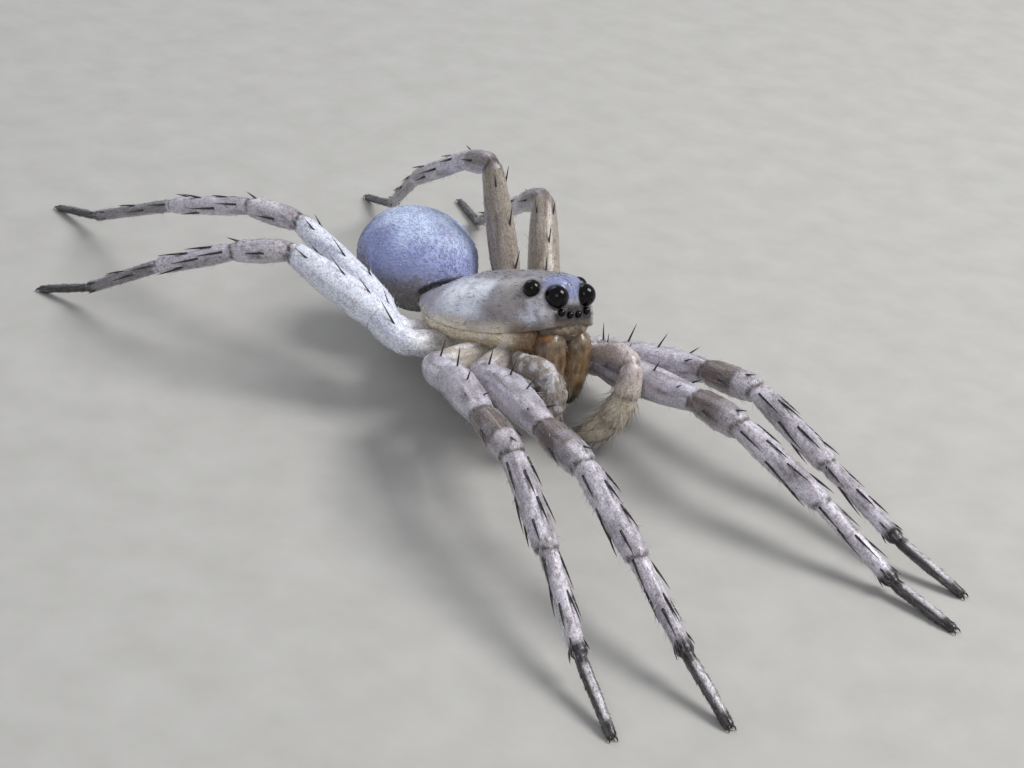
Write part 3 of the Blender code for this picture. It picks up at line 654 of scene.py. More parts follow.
def add_soft_skin():
    """The soft skin between the shield's edge and the legs, and the face above the jaws."""
    x = np.linspace(-0.43, 0.40, 64)[:, None]
    half_width, margin = (np.interp(x, CARAPACE_SECTIONS[:, 0], CARAPACE_SECTIONS[:, k]) for k in (1, 3))
    top = margin + 0.034
    angle = turns(PLEURA_SIDES)
    across = np.sign(np.cos(angle)) * np.abs(np.cos(angle)) ** 0.42
    inward = 1 - 0.30 * step(-np.sin(angle), -0.6, 1.0)
    z = (top + PLEURA_LOW) / 2 + (top - PLEURA_LOW) / 2 * np.sin(angle)
    grid = np.stack((x + 0 * z, half_width * 0.995 * across * inward, z), axis=-1)
    crease = lumps(grid * (1, 1, 2.2), 0.07, 12.0)
    grid[..., 1] *= 1 + 0.03 * crease
    tint = layered(
        mix((0.90, 0.80, 0.58), (0.60, 0.48, 0.28), step(crease, -0.2, 0.5)),
        ((0.80, 0.78, 0.80), step(lumps(grid, 0.05, 3.0), 0.15, 0.5) * 0.5),
        ((0.92, 0.84, 0.68), step(grid[..., 2], -0.13, -0.07) * 0.8),
        ((0.22, 0.105, 0.025), step(grid[..., 0], 0.28, 0.38) * 0.9),
    )
    add_shell("soft_skin", from_body(grid), BACKWARD, grid, tint, "cuticle")
    path, radii = curve_through(FACE_PATH, FACE_RADII, 12)
    points, along, spokes, _ = sweep(from_body(path), radii, 30, FACE_UP)
    points += spokes * (lumps(points, 0.04, 5.5) * 0.004)[..., None]
    tint = mix((0.12, 0.085, 0.055), (0.24, 0.18, 0.12), step(lumps(points, 0.035, 7.5), -0.1, 0.5))
    add_shell("face", points, along, points, tint, "amber")


def hollow(points):
    """Press points of the abdomen's front out of the space that the carapace's rear needs."""
    x_at, half_at, top_at, margin_at, _ = CARAPACE_SECTIONS[CARAPACE_SECTIONS[:, 0] < 0].T
    for _ in range(3):
        x = points[..., 0] + SHIELD_CLEARANCE
        half = np.interp(x, x_at, half_at, left=0.0) + SHIELD_CLEARANCE
        top = np.interp(x, x_at, top_at, left=-0.1) + SHIELD_CLEARANCE
        margin = np.interp(x, x_at, margin_at)
        spread = np.clip(np.abs(points[..., 1]) / half, 0, 1)
        crown = margin + (top - margin) * np.sqrt(1 - spread ** 2)
        depth = np.where((spread < 1) & (x > x_at[0]), crown - points[..., 2], 0)
        depth = np.clip(depth, 0, 0.5) * (points[..., 2] > -0.12)
        points = points + np.stack((-0.35 * depth, 0 * depth, 0.8 * depth), axis=-1)
    return points


def add_abdomen():
    """The velvety globe of the hind body on its narrow waist."""
    reach = heading_vector(180 - ABDOMEN_TURN, ABDOMEN_LIFT)
    axis = heading_vector(180 - ABDOMEN_TURN, ABDOMEN_RISE)
    turn = np.array(Vector(axis).to_track_quat("X", "Z").to_matrix())
    polar = math.pi * (np.arange(ABDOMEN_ROWS) + 0.5) / ABDOMEN_ROWS
    angle = turns(ABDOMEN_SIDES)
    girth = (np.sin(polar) ** ABDOMEN_FULLNESS)[:, None]
    ball = (-np.cos(polar)[:, None] + 0 * angle, girth * np.cos(angle), girth * np.sin(angle))
    grid = np.stack(ball, axis=-1) * ABDOMEN_SIZE / 2 * SKIN_DEPTH
    x, y, z = np.moveaxis(grid, -1, 0)
    lift = 0.004 * lumps(grid, 0.16, 3.0) + 0.0016 * lumps(grid, 0.05, 8.0)
    for along in (-0.12, 0.02, 0.14):
        for across in (-0.075, 0.075):
            lift -= 0.006 * bump(x, along, 0.02) * bump(y, across, 0.02) * (z > 0)
    shaped = grid + unit(grid / ABDOMEN_SIZE ** 2) * lift[..., None]
    points = from_body(hollow(shaped @ turn.T + WAIST + reach * ABDOMEN_REACH))
    broad = lumps(grid, 0.11, 1.0)
    mottle = lumps(grid, 0.045, 6.0)
    fore, left, rise = np.moveaxis(grid / ABDOMEN_SIZE * 2, -1, 0)
    # Lavender-blue, with painted light over the top, and darker low down, on the left side and at the rear
    # end: painted shade, partly its own darker flank
    tint = layered(
        np.zeros(grid.shape) + (0.36, 0.41, 0.71),
        ((0.66, 0.76, 1.0), step(rise + 0.3 * broad, 0.30, 0.95) * 0.85),
        ((0.22, 0.20, 0.19), step(-rise + 0.25 * broad, -0.22, 0.42)),
        ((0.15, 0.15, 0.21), step(-left, 0.45, 1.0) * (1 - step(z, 0.10, 0.24)) * 0.55),
        ((0.17, 0.17, 0.24), step(fore, 0.35, 0.95) * 0.8),
    )
    tint *= (1 + 0.12 * broad + 0.10 * mottle)[..., None]
    heart = bump(y, 0, 0.030 + 0.02 * np.cos(30 * x)) * (1 - step(x, 0.0, 0.12)) * step(z, 0.05, 0.2)
    tint = np.clip(mix(tint, (0.30, 0.32, 0.50), heart * 0.35), 0, 1)
    add_shell("abdomen", points, BODY @ axis, grid, tint, "velvet")
    stalk = (WAIST + (0.10, 0, 0.02), WAIST, WAIST + reach * 0.16)
    path, radii = curve_through(stalk, WAIST_RADII, 10)
    add_tube("waist", from_body(path), radii, 28, (0.40, 0.36, 0.36))


def add_spinnerets():
    """Two pairs of short ringed cones, low on the abdomen's rear."""
    middle = np.mean(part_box("spinnerets"), axis=0) / CARAPACE - SHIFT
    out = BODY @ heading_vector(180 - ABDOMEN_TURN, SPINNERET_RISE)
    side = unit(np.cross(out, (0, 0, 1.0)))
    rise = np.cross(side, out)
    t = np.linspace(0, 1, 22)
    girth = (0.020 - 0.008 * t) * (1 - 0.10 * (bump(t, 0.62, 0.05) + bump(t, 0.82, 0.04)))
    girth[-2:] *= (0.8, 0.4)
    tint = mix((0.34, 0.30, 0.30), (0.16, 0.12, 0.11), t)[:, None]
    cones = [(across, *cone) for across in (-1, 1) for cone in ((0.016, 0.070), (-0.020, 0.058))]
    for i, (across, height, length) in enumerate(cones):
        root = middle + side * across * 0.021 + rise * height - out * 0.07
        way = unit(out + side * across * 0.18 + rise * height * 4)
        add_tube(f"spinneret_{i}", root + way * ((length + 0.03) * t)[:, None], girth, 20, tint)


def add_jaws():
    """Two chelicerae, brown and translucent, each with its fang."""
    for side, word in HANDS:
        centres, radii = curve_through(mirrored(JAW_PATH, side), JAW_RADII, 9)
        radii[-3:] *= (0.95, 0.82, 0.5)
        points, along, spokes, angle = sweep(from_body(centres), radii * SKIN_DEPTH, 32, FACE_UP)
        rough = lumps(points, 0.06, 1.5) * 0.006 + lumps(points * (1, 1, 0.5), 0.025, 4.5) * 0.004
        points += spokes * rough[..., None]
        t = np.linspace(0, 1, len(centres))[:, None] + 0 * angle
        streak = lumps(points * (1, 1, 0.30), 0.022, 3.3)
        boss = bump(t, 0.27, 0.045) * step(np.cos(angle + side * math.pi / 2), 0.2, 0.85)
        tint = layered(
            mix((0.15, 0.105, 0.066), (0.25, 0.150, 0.068), step(t, 0.30, 0.60)),
            ((0.34, 0.25, 0.17), step(streak, 0.10, 0.5) * 0.5 * (1 - step(t, 0.7, 0.9))),
            ((0.05, 0.032, 0.020), step(-streak, 0.10, 0.45) * 0.7),
            ((0.36, 0.13, 0.022), boss * 0.85),
            ((0.030, 0.034, 0.018), step(t, 0.66, 0.86)),
        )
        add_shell(f"jaw_{word}", points, along, points, tint, "amber")
        fang, radii = curve_through(mirrored(FANG_PATH, side), FANG_RADII, 10)
        radii[-1] *= 0.4
        tint = mix((0.06, 0.03, 0.015), INK, np.linspace(0, 1, len(fang)))[:, None]
        add_tube(f"fang_{word}", from_body(fang), radii * SKIN_DEPTH, 20, tint, "horn", BODY @ (1.0, 0, 0.2))


def add_palps():
    """The palps, with the joints of their short segments and a rounded last one."""
    for name, palp in PALPS.items():
        path, radii = curve_through(mirrored(palp.points, palp.side), palp.radii, PALP_STEPS)
        s = distances(path)
        knee = s[PALP_KNEE * PALP_STEPS]
        places = (0.10, knee - 0.02, knee + 0.13, s[-1] - 0.22)
        for place in places:
            radii *= (1 - 0.09 * bump(s, place, 0.011)) * (1 + 0.04 * bump(s, place - 0.030, 0.02))
        radii[-4:] *= (0.98, 0.9, 0.7, 0.4)
        points, along, _, angle = sweep(from_body(path), radii * SKIN_DEPTH, 30, BODY @ (0.6, 0, 0.8))
        t = (s / s[-1])[:, None] + 0 * angle
        streak = lumps(points, 0.028, 6.1)
        # Painted highlights: white patches on the upper palp, stronger on the right palp
        glint_patches = step(lumps(points, 0.06, 6.6) + 0.4 * streak, 0.0, 0.4) * (1 - step(t, 0.55, 0.85))
        lower = step(-np.cos(angle) + 0 * t, 0.2, 0.9)
        if palp.side > 0:
            tint = mix((0.55, 0.47, 0.45), (0.62, 0.54, 0.40), step(t, 0.45, 0.65))
            tint = mix(tint, (0.12, 0.095, 0.06), step(t, 0.84, 1.0) * 0.85)
        else:
            tint = mix((0.27, 0.225, 0.18), (0.28, 0.24, 0.20), t)
            tint = mix(tint, (0.16, 0.12, 0.09), step(t, 0.80, 1.0) * 0.8)
        tint = layered(
            tint,
            ((0.13, 0.10, 0.08), lower * 0.4),
            *((BROWN, bump(s, place, 0.010)[:, None] * 0.6 + 0 * t) for place in places),
            (WHITE, glint_patches * (0.20 if palp.side > 0 else 0.55)),
            (BROWN, step(streak, 0.25, 0.5) * 0.4),
        )
        add_shell(name, points, along, tube_lie(s, radii, angle, 50.0 + 5 * palp.side), tint, "cuticle")


def placed(name, data):
    """A new object in the scene."""
    made = bpy.data.objects.new(name, data)
    bpy.context.scene.collection.objects.link(made)
    return made


def fill(items, key, values, kind=np.float32):
    """Set one property of all vertices, corners or faces."""
    items.foreach_set(key, np.ascontiguousarray(values, kind).ravel())


def mesh_object(name, points, faces, look):
    """A smooth mesh object from points and groups of equal-sided faces."""
    loops = np.concatenate([group.ravel() for group in faces])
    sizes = np.concatenate([np.full(len(group), group.shape[1]) for group in faces])
    data = bpy.data.meshes.new(name)
    data.vertices.add(len(points))
    data.loops.add(len(loops))
    data.polygons.add(len(sizes))
    fill(data.vertices, "co", points)
    fill(data.loops, "vertex_index", loops, np.int32)
    fill(data.polygons, "loop_start", np.cumsum(sizes) - sizes, np.int32)
    fill(data.polygons, "use_smooth", np.ones(len(sizes)), bool)
    data.update(calc_edges=True)
    data.validate()
    for material in look:
        data.materials.append(LOOKS[material])
    return placed(name, data)


def paint(data, tints, lies):
    """Store colour and lie at each vertex for the materials to read."""
    tint = data.attributes.new("tint", "FLOAT_COLOR", "POINT")
    fill(tint.data, "color", np.column_stack((tints, np.ones(len(tints)))))
    lie = data.attributes.new("lie", "FLOAT_VECTOR", "POINT")
    fill(lie.data, "vector", lies)


def settle(piece, part, *nodes):
    """Let a piece ride on the body's root, and hide the nodes that it stands for."""
    if nodes:
        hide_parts(*nodes)
    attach(piece, "root")


def join_shells(piece, names, materials):
    """One mesh object from several shells, with their colours and lie as attributes."""
    fields = {"points": [], "tint": [], "lie": []}
    quads, fans, looks, fan_looks = [], [], [], []
    offset = 0
    for shell in (SHELLS[name] for name in names):
        rows, sides, _ = shell.points.shape
        for key, kept in fields.items():
            grid = getattr(shell, key)
            kept += [grid.reshape(-1, 3), np.stack((grid[0].mean(0), grid[-1].mean(0)))]
        quad, fan = grid_faces(rows, sides, offset)
        quads.append(quad)
        fans.append(fan)
        look = materials.index(shell.look)
        looks.append(np.full(len(quad), look))
        fan_looks.append(np.full(len(fan), look))
        offset += rows * sides + 2
    points, tints, lies = (np.vstack(kept) for kept in fields.values())
    made = mesh_object(piece, to_metres(points), (np.vstack(quads), np.vstack(fans)), materials)
    fill(made.data.polygons, "material_index", np.concatenate(looks + fan_looks), np.int32)
    paint(made.data, tints, lies)
    return made


def start_material(name, **sockets):
    """A Principled material with constants on its own sockets, and a short way to add its nodes."""
    made = bpy.data.materials.new(name)
    made.use_nodes = True
    tree = made.node_tree
    shader = tree.nodes["Principled BSDF"]
    for key, value in sockets.items():
        shader.inputs[key.replace("_", " ")].default_value = value

    def add(kind, inputs, **settings):
        node = tree.nodes.new(kind)
        for key, value in settings.items():
            setattr(node, key, value)
        for key, value in inputs.items():
            if isinstance(value, bpy.types.NodeSocket):
                tree.links.new(value, node.inputs[key])
            else:
                node.inputs[key].default_value = value
        return node

    return made, shader, add


def stored(add, name, socket):
    """A value that is stored at each vertex."""
    return add("ShaderNodeAttribute", {}, attribute_name=name).outputs[socket]


def noise_at(add, vector, scale, detail=3.0, rough=0.55):
    """Value of a noise texture at a vector."""
    inputs = {"Vector": vector, "Scale": scale, "Detail": detail, "Roughness": rough}
    return add("ShaderNodeTexNoise", inputs).outputs["Fac"]


def ranged(add, value, *limits):
    """Map a value from one range to another, clamped."""
    inputs = dict(zip(("From Min", "From Max", "To Min", "To Max"), limits))
    return add("ShaderNodeMapRange", {"Value": value, **inputs}).outputs["Result"]


def multiplied(add, vector, factor):
    """A vector or colour times a constant one."""
    return add("ShaderNodeVectorMath", {0: vector, 1: factor}, operation="MULTIPLY").outputs[0]


def tinted(add, colour, share, other):
    """Blend a colour with another by a share, each a socket or a constant."""
    pair = [(*value, 1.0) if isinstance(value, tuple) else value for value in (colour, other)]
    return add("ShaderNodeMix", {0: share, 6: pair[0], 7: pair[1]}, data_type="RGBA").outputs[2]


# Skins: streaks' scales along and across, scale of flecks, colour and share of streaks, roughness, bump,
# scattering and its radii, coat, sheen and depth of grain
Skin = namedtuple("Skin", "streak fleck pale share rough bumps scattering radii coat sheen grain")
SKINS = {
    "cuticle": Skin(
        (5.0, 60.0, 60.0), 26.0, (0.80, 0.79, 0.86), 0.32, (0.22, 0.46), 0.42,
        0.26, (0.034, 0.025, 0.022), 0.30, 0.0, 0.60,
    ),
    "shield": Skin(
        (9.0, 14.0, 14.0), 16.0, (0.70, 0.71, 0.80), 0.18, (0.24, 0.46), 0.28,
        0.30, (0.036, 0.026, 0.022), 0.30, 0.0, 0.30,
    ),
    "velvet": Skin(
        (16.0, 30.0, 30.0), 40.0, (0.62, 0.66, 0.86), 0.35, (0.60, 0.85), 0.45,
        0.20, (0.020, 0.018, 0.018), 0.0, 0.3, 0.15,
    ),
    "amber": Skin(
        (24.0, 24.0, 10.0), 22.0, (0.34, 0.25, 0.17), 0.20, (0.20, 0.44), 0.30,
        0.22, (0.036, 0.016, 0.008), 0.40, 0.0, 0.35,
    ),
    "horn": Skin(
        (20.0, 20.0, 20.0), 30.0, (0.10, 0.05, 0.03), 0.40, (0.15, 0.30), 0.15,
        0.05, (0.010, 0.005, 0.003), 0.60, 0.0, 0.60,
    ),
}
GRAIN_SCALE = 120.0


def skin_material(name, skin):
    """Cuticle whose colour comes from the skin's tint, with streaks, flecks and fine relief."""
    made, shader, add = start_material(
        name, IOR=1.46, Subsurface_Weight=skin.scattering, Subsurface_Scale=1.0,
        Subsurface_Radius=tuple(r * CARAPACE for r in skin.radii),
        Coat_Weight=skin.coat, Coat_Roughness=0.18, Sheen_Weight=skin.sheen, Sheen_Roughness=0.4,
    )
    tint = stored(add, "tint", "Color")
    lie = stored(add, "lie", "Vector")
    streaks = noise_at(add, multiplied(add, lie, skin.streak), 1.0, 4.0, 0.6)
    flecks = noise_at(add, lie, skin.fleck, 4.0, 0.65)
    fine = noise_at(add, lie, skin.fleck * 4.0, 2.0, 0.5)
    grains = noise_at(add, lie, GRAIN_SCALE, 2.0, 0.7)
    colour = tinted(add, tint, ranged(add, streaks, 0.50, 0.78, 0.0, skin.share), skin.pale)
    tones = (
        (flecks, (0.36, 0.52, 0.45, 0.0), (0.62, 0.58, 0.58)),
        (grains, (0.36, 0.50, skin.grain, 0.0), (0.42, 0.38, 0.38)),
        (grains, (0.52, 0.66, 0.0, skin.grain), (1.35, 1.35, 1.38)),
    )
    for field, limits, factor in tones:
        colour = tinted(add, colour, ranged(add, field, *limits), multiplied(add, colour, factor))
    relief = add("ShaderNodeMath", {0: streaks, 1: fine}, operation="ADD").outputs[0]
    bumps = {"Strength": skin.bumps, "Distance": 0.006 * CARAPACE, "Height": relief}
    link = made.node_tree.links.new
    link(colour, shader.inputs["Base Color"])
    link(ranged(add, flecks, 0.3, 0.7, *skin.rough), shader.inputs["Roughness"])
    link(add("ShaderNodeBump", bumps).outputs["Normal"], shader.inputs["Normal"])
    return made


def drifting_material(name, base, other, scale, detail, limits, **sockets):
    """A material whose colour drifts by a noise; with no base it starts from the tint at each vertex."""
    made, shader, add = start_material(name, **sockets)
    base = base or stored(add, "tint", "Color")
    if name == "floor":
        place = add("ShaderNodeTexCoord", {}).outputs["Object"]
    else:
        place = stored(add, "lie", "Vector")
    cloud = noise_at(add, place, scale, detail)
    colour = tinted(add, base, ranged(add, cloud, *limits), other)
    made.node_tree.links.new(colour, shader.inputs["Base Color"])
    return made


LOOKS = {name: skin_material(name, skin) for name, skin in SKINS.items()}

# Plain looks: name, colour (none for the tint), other colour, scale, detail and limits of the drift
for row, sockets in (
    (("lens", (0.0015, 0.0015, 0.002), (0.008, 0.005, 0.004), 3.0, 2.0, (0.45, 0.8, 0.0, 0.5)),
        {"Roughness": 0.07, "Specular_IOR_Level": 0.32, "IOR": 1.45}),
    (("bristle", None, (0.05, 0.035, 0.025), 30.0, 2.0, (0.4, 0.8, 0.0, 0.5)),
        {"Roughness": 0.32, "Coat_Weight": 0.3}),
    (("hair_leg", None, (0.85, 0.83, 0.88), 40.0, 1.0, (0.3, 0.7, 0.0, 0.08)),
        {"Roughness": 0.45, "Sheen_Weight": 0.2}),
    (("hair_body", None, (0.78, 0.80, 0.92), 40.0, 1.0, (0.3, 0.7, 0.0, 0.08)),
        {"Roughness": 0.5, "Sheen_Weight": 0.2}),
    (("floor", (0.45, 0.442, 0.420), (0.50, 0.492, 0.470), 900.0, 4.0, (0.3, 0.7, 0.0, 1.0)),
        {"Roughness": 0.9}),
):
    LOOKS[row[0]] = drifting_material(*row, **sockets)


def add_eyes(places):
    """One glossy lens for each eye node, a dome on a low collar."""
    polar = math.pi * (np.arange(EYE_ROWS) + 0.5) / EYE_ROWS
    angle = TAU * np.arange(EYE_SIDES) / EYE_SIDES
    swell = 1 + 0.03 * bump(polar, 0, 0.7) - 0.05 * bump(polar, 1.35, 0.10)
    for name, (centre, radius, out) in places.items():
        side = unit(np.cross(out, (0.3, 0.1, 0.9)))
        ring = circle(side, np.cross(out, side), angle)
        heights = (np.cos(polar) * radius * swell)[:, None, None]
        reach = (np.sin(polar) * radius * swell)[:, None, None]
        points = from_body((centre + out * heights + ring * reach)[:, ::-1])
        lens = name.replace("eye", "lens")
        add_shell(lens, points, points, points * 6, 0.0, "lens")
        settle(join_shells(lens, [lens], ["lens"]), "eye", name)


# Spines of each segment as (share of the length, angle from the top, lean, length)
SPINE_PLACES = {
    "femur": (
        (0.17, 4, 68, 0.125), (0.38, -4, 62, 0.120), (0.62, 6, 54, 0.110),
        (0.86, -36, 36, 0.075), (0.88, 36, 36, 0.075),
    ),
    "patella": ((0.45, 80, 16, 0.100), (0.45, -80, 16, 0.100), (0.86, 5, 22, 0.070)),
    "tibia": (
        (0.10, 58, 9, 0.150), (0.14, -62, 9, 0.150), (0.30, 8, 9, 0.140), (0.42, 88, 9, 0.180),
        (0.44, -88, 9, 0.180), (0.58, 24, 9, 0.150), (0.66, 125, 10, 0.140), (0.66, -125, 10, 0.140),
        (0.78, -30, 9, 0.130),
    ),
    "metatarsus": (
        (0.06, 66, 8, 0.170), (0.08, -66, 8, 0.170), (0.32, 92, 8, 0.170), (0.34, -92, 8, 0.170),
        (0.46, 20, 8, 0.150), (0.56, -40, 8, 0.140), (0.86, 55, 18, 0.055), (0.86, -55, 18, 0.055),
        (0.88, 130, 18, 0.055), (0.88, -130, 18, 0.055),
    ),
}

# A spine: radius at its root, sides and rings, how deep it is sunk, and its colour
SPINE_RADIUS = 0.0076
SPINE_SIDES = 6
SPINE_RINGS = 5
SPINE_ROOT = 0.02
SPINE_TINT = (0.010, 0.008, 0.009)


def spike_batch(roots, ways, bends, lengths, radii, sides, rings, sunk):
    """Many tapering spikes as arrays of points, quads and tips; each bends towards its own direction."""
    side = unit(np.cross(ways, bends + 0.37 * np.roll(ways, 1, axis=1) + 0.01))
    ring = circle(side, unit(np.cross(ways, side)), TAU * np.arange(sides) / sides)
    rows = []
    for t in np.arange(rings) / rings:
        spot = roots + ways * (lengths * t - sunk * (t == 0))[:, None] + bends * (lengths * t * t)[:, None]
        rows.append(spot[:, None] + ring * (radii * (1 - t) ** 0.7)[:, None, None])
    rows.append((roots + (ways + bends) * lengths[:, None])[:, None])
    points = np.concatenate(rows, axis=1)
    quads, k, j = ring_quads(rings, sides)
    last = (rings - 1) * sides
    tip = np.stack((last + k, last + j, np.full(sides, last + sides)), axis=-1)
    tris = np.vstack((tip, [[0, i + 1, i] for i in range(1, sides - 1)]))
    offsets = (np.arange(len(roots)) * (last + sides + 1))[:, None, None]
    return points, (quads + offsets).reshape(-1, 4), (tris + offsets).reshape(-1, 3)


def add_spines():
    """Black bristles on the legs, rooted in the skin and leaning towards the toe."""
    draw = np.random.default_rng(SEED)
    rows = []
    for name, pose in POSES.items():
        shell = SHELLS[name]
        scale = 0.8 + 0.2 * PAIRS[pose.pair].girth
        for i, kind in enumerate(SEGMENTS[:-1]):
            near, far = shell.starts[i + 1], shell.starts[i + 2]
            for share, around, lean, length in SPINE_PLACES[kind]:
                s = near + (far - near) * (share + draw.uniform(-0.03, 0.03))
                turn = math.radians(around * pose.side + draw.uniform(-8, 8))
                flat = 0.4 if kind == "femur" and pose.pair >= 3 else 1.0
                tilt = math.radians(lean * flat + draw.uniform(-3, 4))
                row = int(np.argmin(np.abs(shell.stations - s)))
                k = int(round((turn + math.pi) / TAU * LEG_SIDES)) % LEG_SIDES
                normal, along = shell.normals[row, k], shell.flow[row, k]
                way = along * math.cos(tilt) + normal * math.sin(tilt)
                bend = along * 0.02 - normal * 0.35 * math.sin(tilt) * (lean < 20)
                reach = length * draw.uniform(0.85, 1.15) * scale
                stout = 0.75 if length < 0.1 or kind == "femur" else 1.0
                radius = SPINE_RADIUS * draw.uniform(0.85, 1.1) * stout
                rows.append((*shell.points[row, k], *way, *bend, reach, radius))
    table = np.array(rows)
    roots, ways, bends = table[:, :3], unit(table[:, 3:6]), table[:, 6:9]
    lengths, radii = table[:, 9:].T
    sizes = (SPINE_SIDES, SPINE_RINGS, SPINE_ROOT)
    points, quads, tris = spike_batch(roots, ways, bends, lengths, radii, *sizes)
    points = points.reshape(-1, 3)
    piece = mesh_object("spines", to_metres(points), (quads, tris), ["bristle"])
    paint(piece.data, np.zeros(points.shape) + SPINE_TINT, points)
    settle(piece, "leg")


# One kind of hair: tufts on a shell, strands in a tuft, length, lean off the skin in degrees,
# spread of directions, radius, droop towards the skin, share that is dark and how pale the others are
Coat = namedtuple("Coat", "tufts strands length lean spread radius droop dark pale")
LEG_DOWN = Coat(1500, 2, 0.024, 8, 0.12, 0.0012, 0.08, 0.28, 0.45)
LEG_FRINGE = Coat(230, 1, 0.052, 36, 0.12, 0.0011, 0.16, 0.20, 0.80)
FOOT_DOWN = Coat(320, 2, 0.019, 14, 0.14, 0.0012, 0.10, 0.50, 0.10)
VELVET = Coat(7500, 2, 0.020, 15, 0.20, 0.0015, 0.10, 0.03, 0.20)
VELVET_LONG = Coat(240, 1, 0.042, 34, 0.18, 0.0010, 0.15, 0.10, 0.40)
SHIELD_DOWN = Coat(650, 2, 0.023, 9, 0.20, 0.0012, 0.08, 0.28, 0.15)
EDGE_DOWN = Coat(420, 2, 0.030, 10, 0.35, 0.0013, 0.10, 0.30, 0.60)
CROWN_DOWN = Coat(260, 2, 0.024, 20, 0.30, 0.0012, 0.08, 0.20, 0.45)
SKIRT_DOWN = Coat(900, 2, 0.032, 16, 0.22, 0.0014, 0.10, 0.30, 0.45)
JAW_DOWN = Coat(220, 2, 0.028, 11, 0.16, 0.0012, 0.10, 0.60, 0.12)
JAW_FRINGE = Coat(50, 1, 0.070, 34, 0.20, 0.0012, 0.10, 0.50, 0.30)
PALP_DOWN = Coat(380, 2, 0.028, 13, 0.16, 0.0013, 0.10, 0.35, 0.45)
PALP_LONG = Coat(230, 2, 0.095, 20, 0.20, 0.0014, 0.12, 0.30, 0.35)
PALP_THIN = PALP_LONG._replace(tufts=60, length=0.05)
REAR_DOWN = Coat(100, 2, 0.026, 18, 0.16, 0.0012, 0.08, 0.40, 0.40)
SKIRTS = {
    "soft_skin": 1.0, "underside": 0.5, "palp_coxa_left": 0.12, "palp_coxa_right": 0.12,
    "face": 0.10, "waist": 0.06,
}

# Hair: its patch of the unwrap, its colours, its sides and rings, how deep it is sunk, and the size of a tuft
HAIR_PATCH = 0.003
HAIR_DARKER = 0.45
HAIR_PALE = (0.88, 0.88, 0.94)
HAIR_SIDES = 3
HAIR_RINGS = 2
HAIR_ROOT = 0.006
TUFT_WIDTH = 0.006
TUFT_DEPTH = 0.0012
WHOLE = (0, 1)


def scatter(shell, chart, count, draw, where):
    """Random spots on a shell, denser where asked: a reader of fields there, and places on the unwrap."""
    points = shell.points
    rows, sides, _ = points.shape
    widths = np.linalg.norm(np.roll(points, -1, axis=1) - points, axis=-1)[:-1]
    heights = np.linalg.norm(np.diff(points, axis=0), axis=-1)
    weight = widths * heights * np.clip(where[:-1], 0, None)
    cells = draw.choice(weight.size, count, p=weight.ravel() / weight.sum())
    row, column = cells // sides, cells % sides
    a, b = draw.random(count), draw.random(count)
    after = (column + 1) % sides
    share_a, share_b = a[:, None], b[:, None]

    def at(field):
        before = field[row, column] * (1 - share_a) + field[row + 1, column] * share_a
        beyond = field[row, after] * (1 - share_a) + field[row + 1, after] * share_a
        return before * (1 - share_b) + beyond * share_b

    left, width = chart
    across = left + width * (0.03 + 0.94 * (column + b) / sides)
    return at, np.stack((across, 0.02 + 0.96 * (row + a) / rows), axis=-1)


def tufts(shell, chart, coat, draw, where=1.0, reach=1.0):
    """One batch of hair on a shell, as points, faces, colours and places on the unwrap."""
    flat = 0 * shell.points[..., 0]
    at, place = scatter(shell, chart, coat.tufts, draw, where + flat)
    root, normal, colour = at(shell.points), unit(at(shell.normals)), at(shell.tint)
    scale = at((reach + flat)[..., None])[:, 0]
    flow = at(shell.flow)
    flow = unit(flow - normal * np.sum(flow * normal, axis=1, keepdims=True) + 1e-6)
    lean = np.radians(coat.lean * draw.uniform(0.6, 1.4, coat.tufts))[:, None]
    way = flow * np.cos(lean) + normal * np.sin(lean) + draw.normal(0, coat.spread, (coat.tufts, 3))
    light = (draw.random(coat.tufts) >= coat.dark)[:, None]
    blend = draw.uniform(0.3, 1.0, coat.tufts)
    colour = np.where(light, mix(colour, HAIR_PALE, blend * coat.pale), colour * HAIR_DARKER)

    # Each tuft's strands share its root, way and colour, with a little scatter
    root, normal, colour, scale, flow, way, place = (
        np.repeat(field, coat.strands, axis=0) for field in (root, normal, colour, scale, flow, way, place)
    )
    total = coat.tufts * coat.strands
    side = unit(np.cross(normal, flow))
    jitter = draw.uniform(-1, 1, (total, 2)) * TUFT_WIDTH
    root = root + side * jitter[:, :1] + flow * jitter[:, 1:] - normal * TUFT_DEPTH
    way = unit(way + draw.normal(0, 0.07, (total, 3)))
    into = np.sum(way * normal, axis=1, keepdims=True)
    way = unit(way + normal * np.clip(0.06 - into, 0, None))
    length = coat.length * scale * draw.uniform(0.65, 1.3, total)
    radius = coat.radius * draw.uniform(0.8, 1.2, total) * np.clip(scale, 0.7, 1.3)
    bend = -normal * coat.droop * np.sum(way * normal, axis=1, keepdims=True)
    bend = bend + side * draw.normal(0, 0.05, (total, 1))
    points, quads, tris = spike_batch(root, way, bend, length, radius, HAIR_SIDES, HAIR_RINGS, HAIR_ROOT)
    points[..., 2] = np.maximum(points[..., 2], FLOOR_CLEARANCE)
    count = points.shape[1]
    strand = (np.arange(total) % coat.strands + 0.5) / coat.strands - 0.5
    along = np.arange(count) / (count - 1) - 0.5
    patch = np.stack(np.broadcast_arrays(strand[:, None], along), axis=-1) * HAIR_PATCH
    shade = draw.uniform(0.85, 1.15, total)[:, None]
    charted = (place[:, None, :] + patch).reshape(-1, 2)
    return points.reshape(-1, 3), quads, tris, np.repeat(colour * shade, count, axis=0), charted


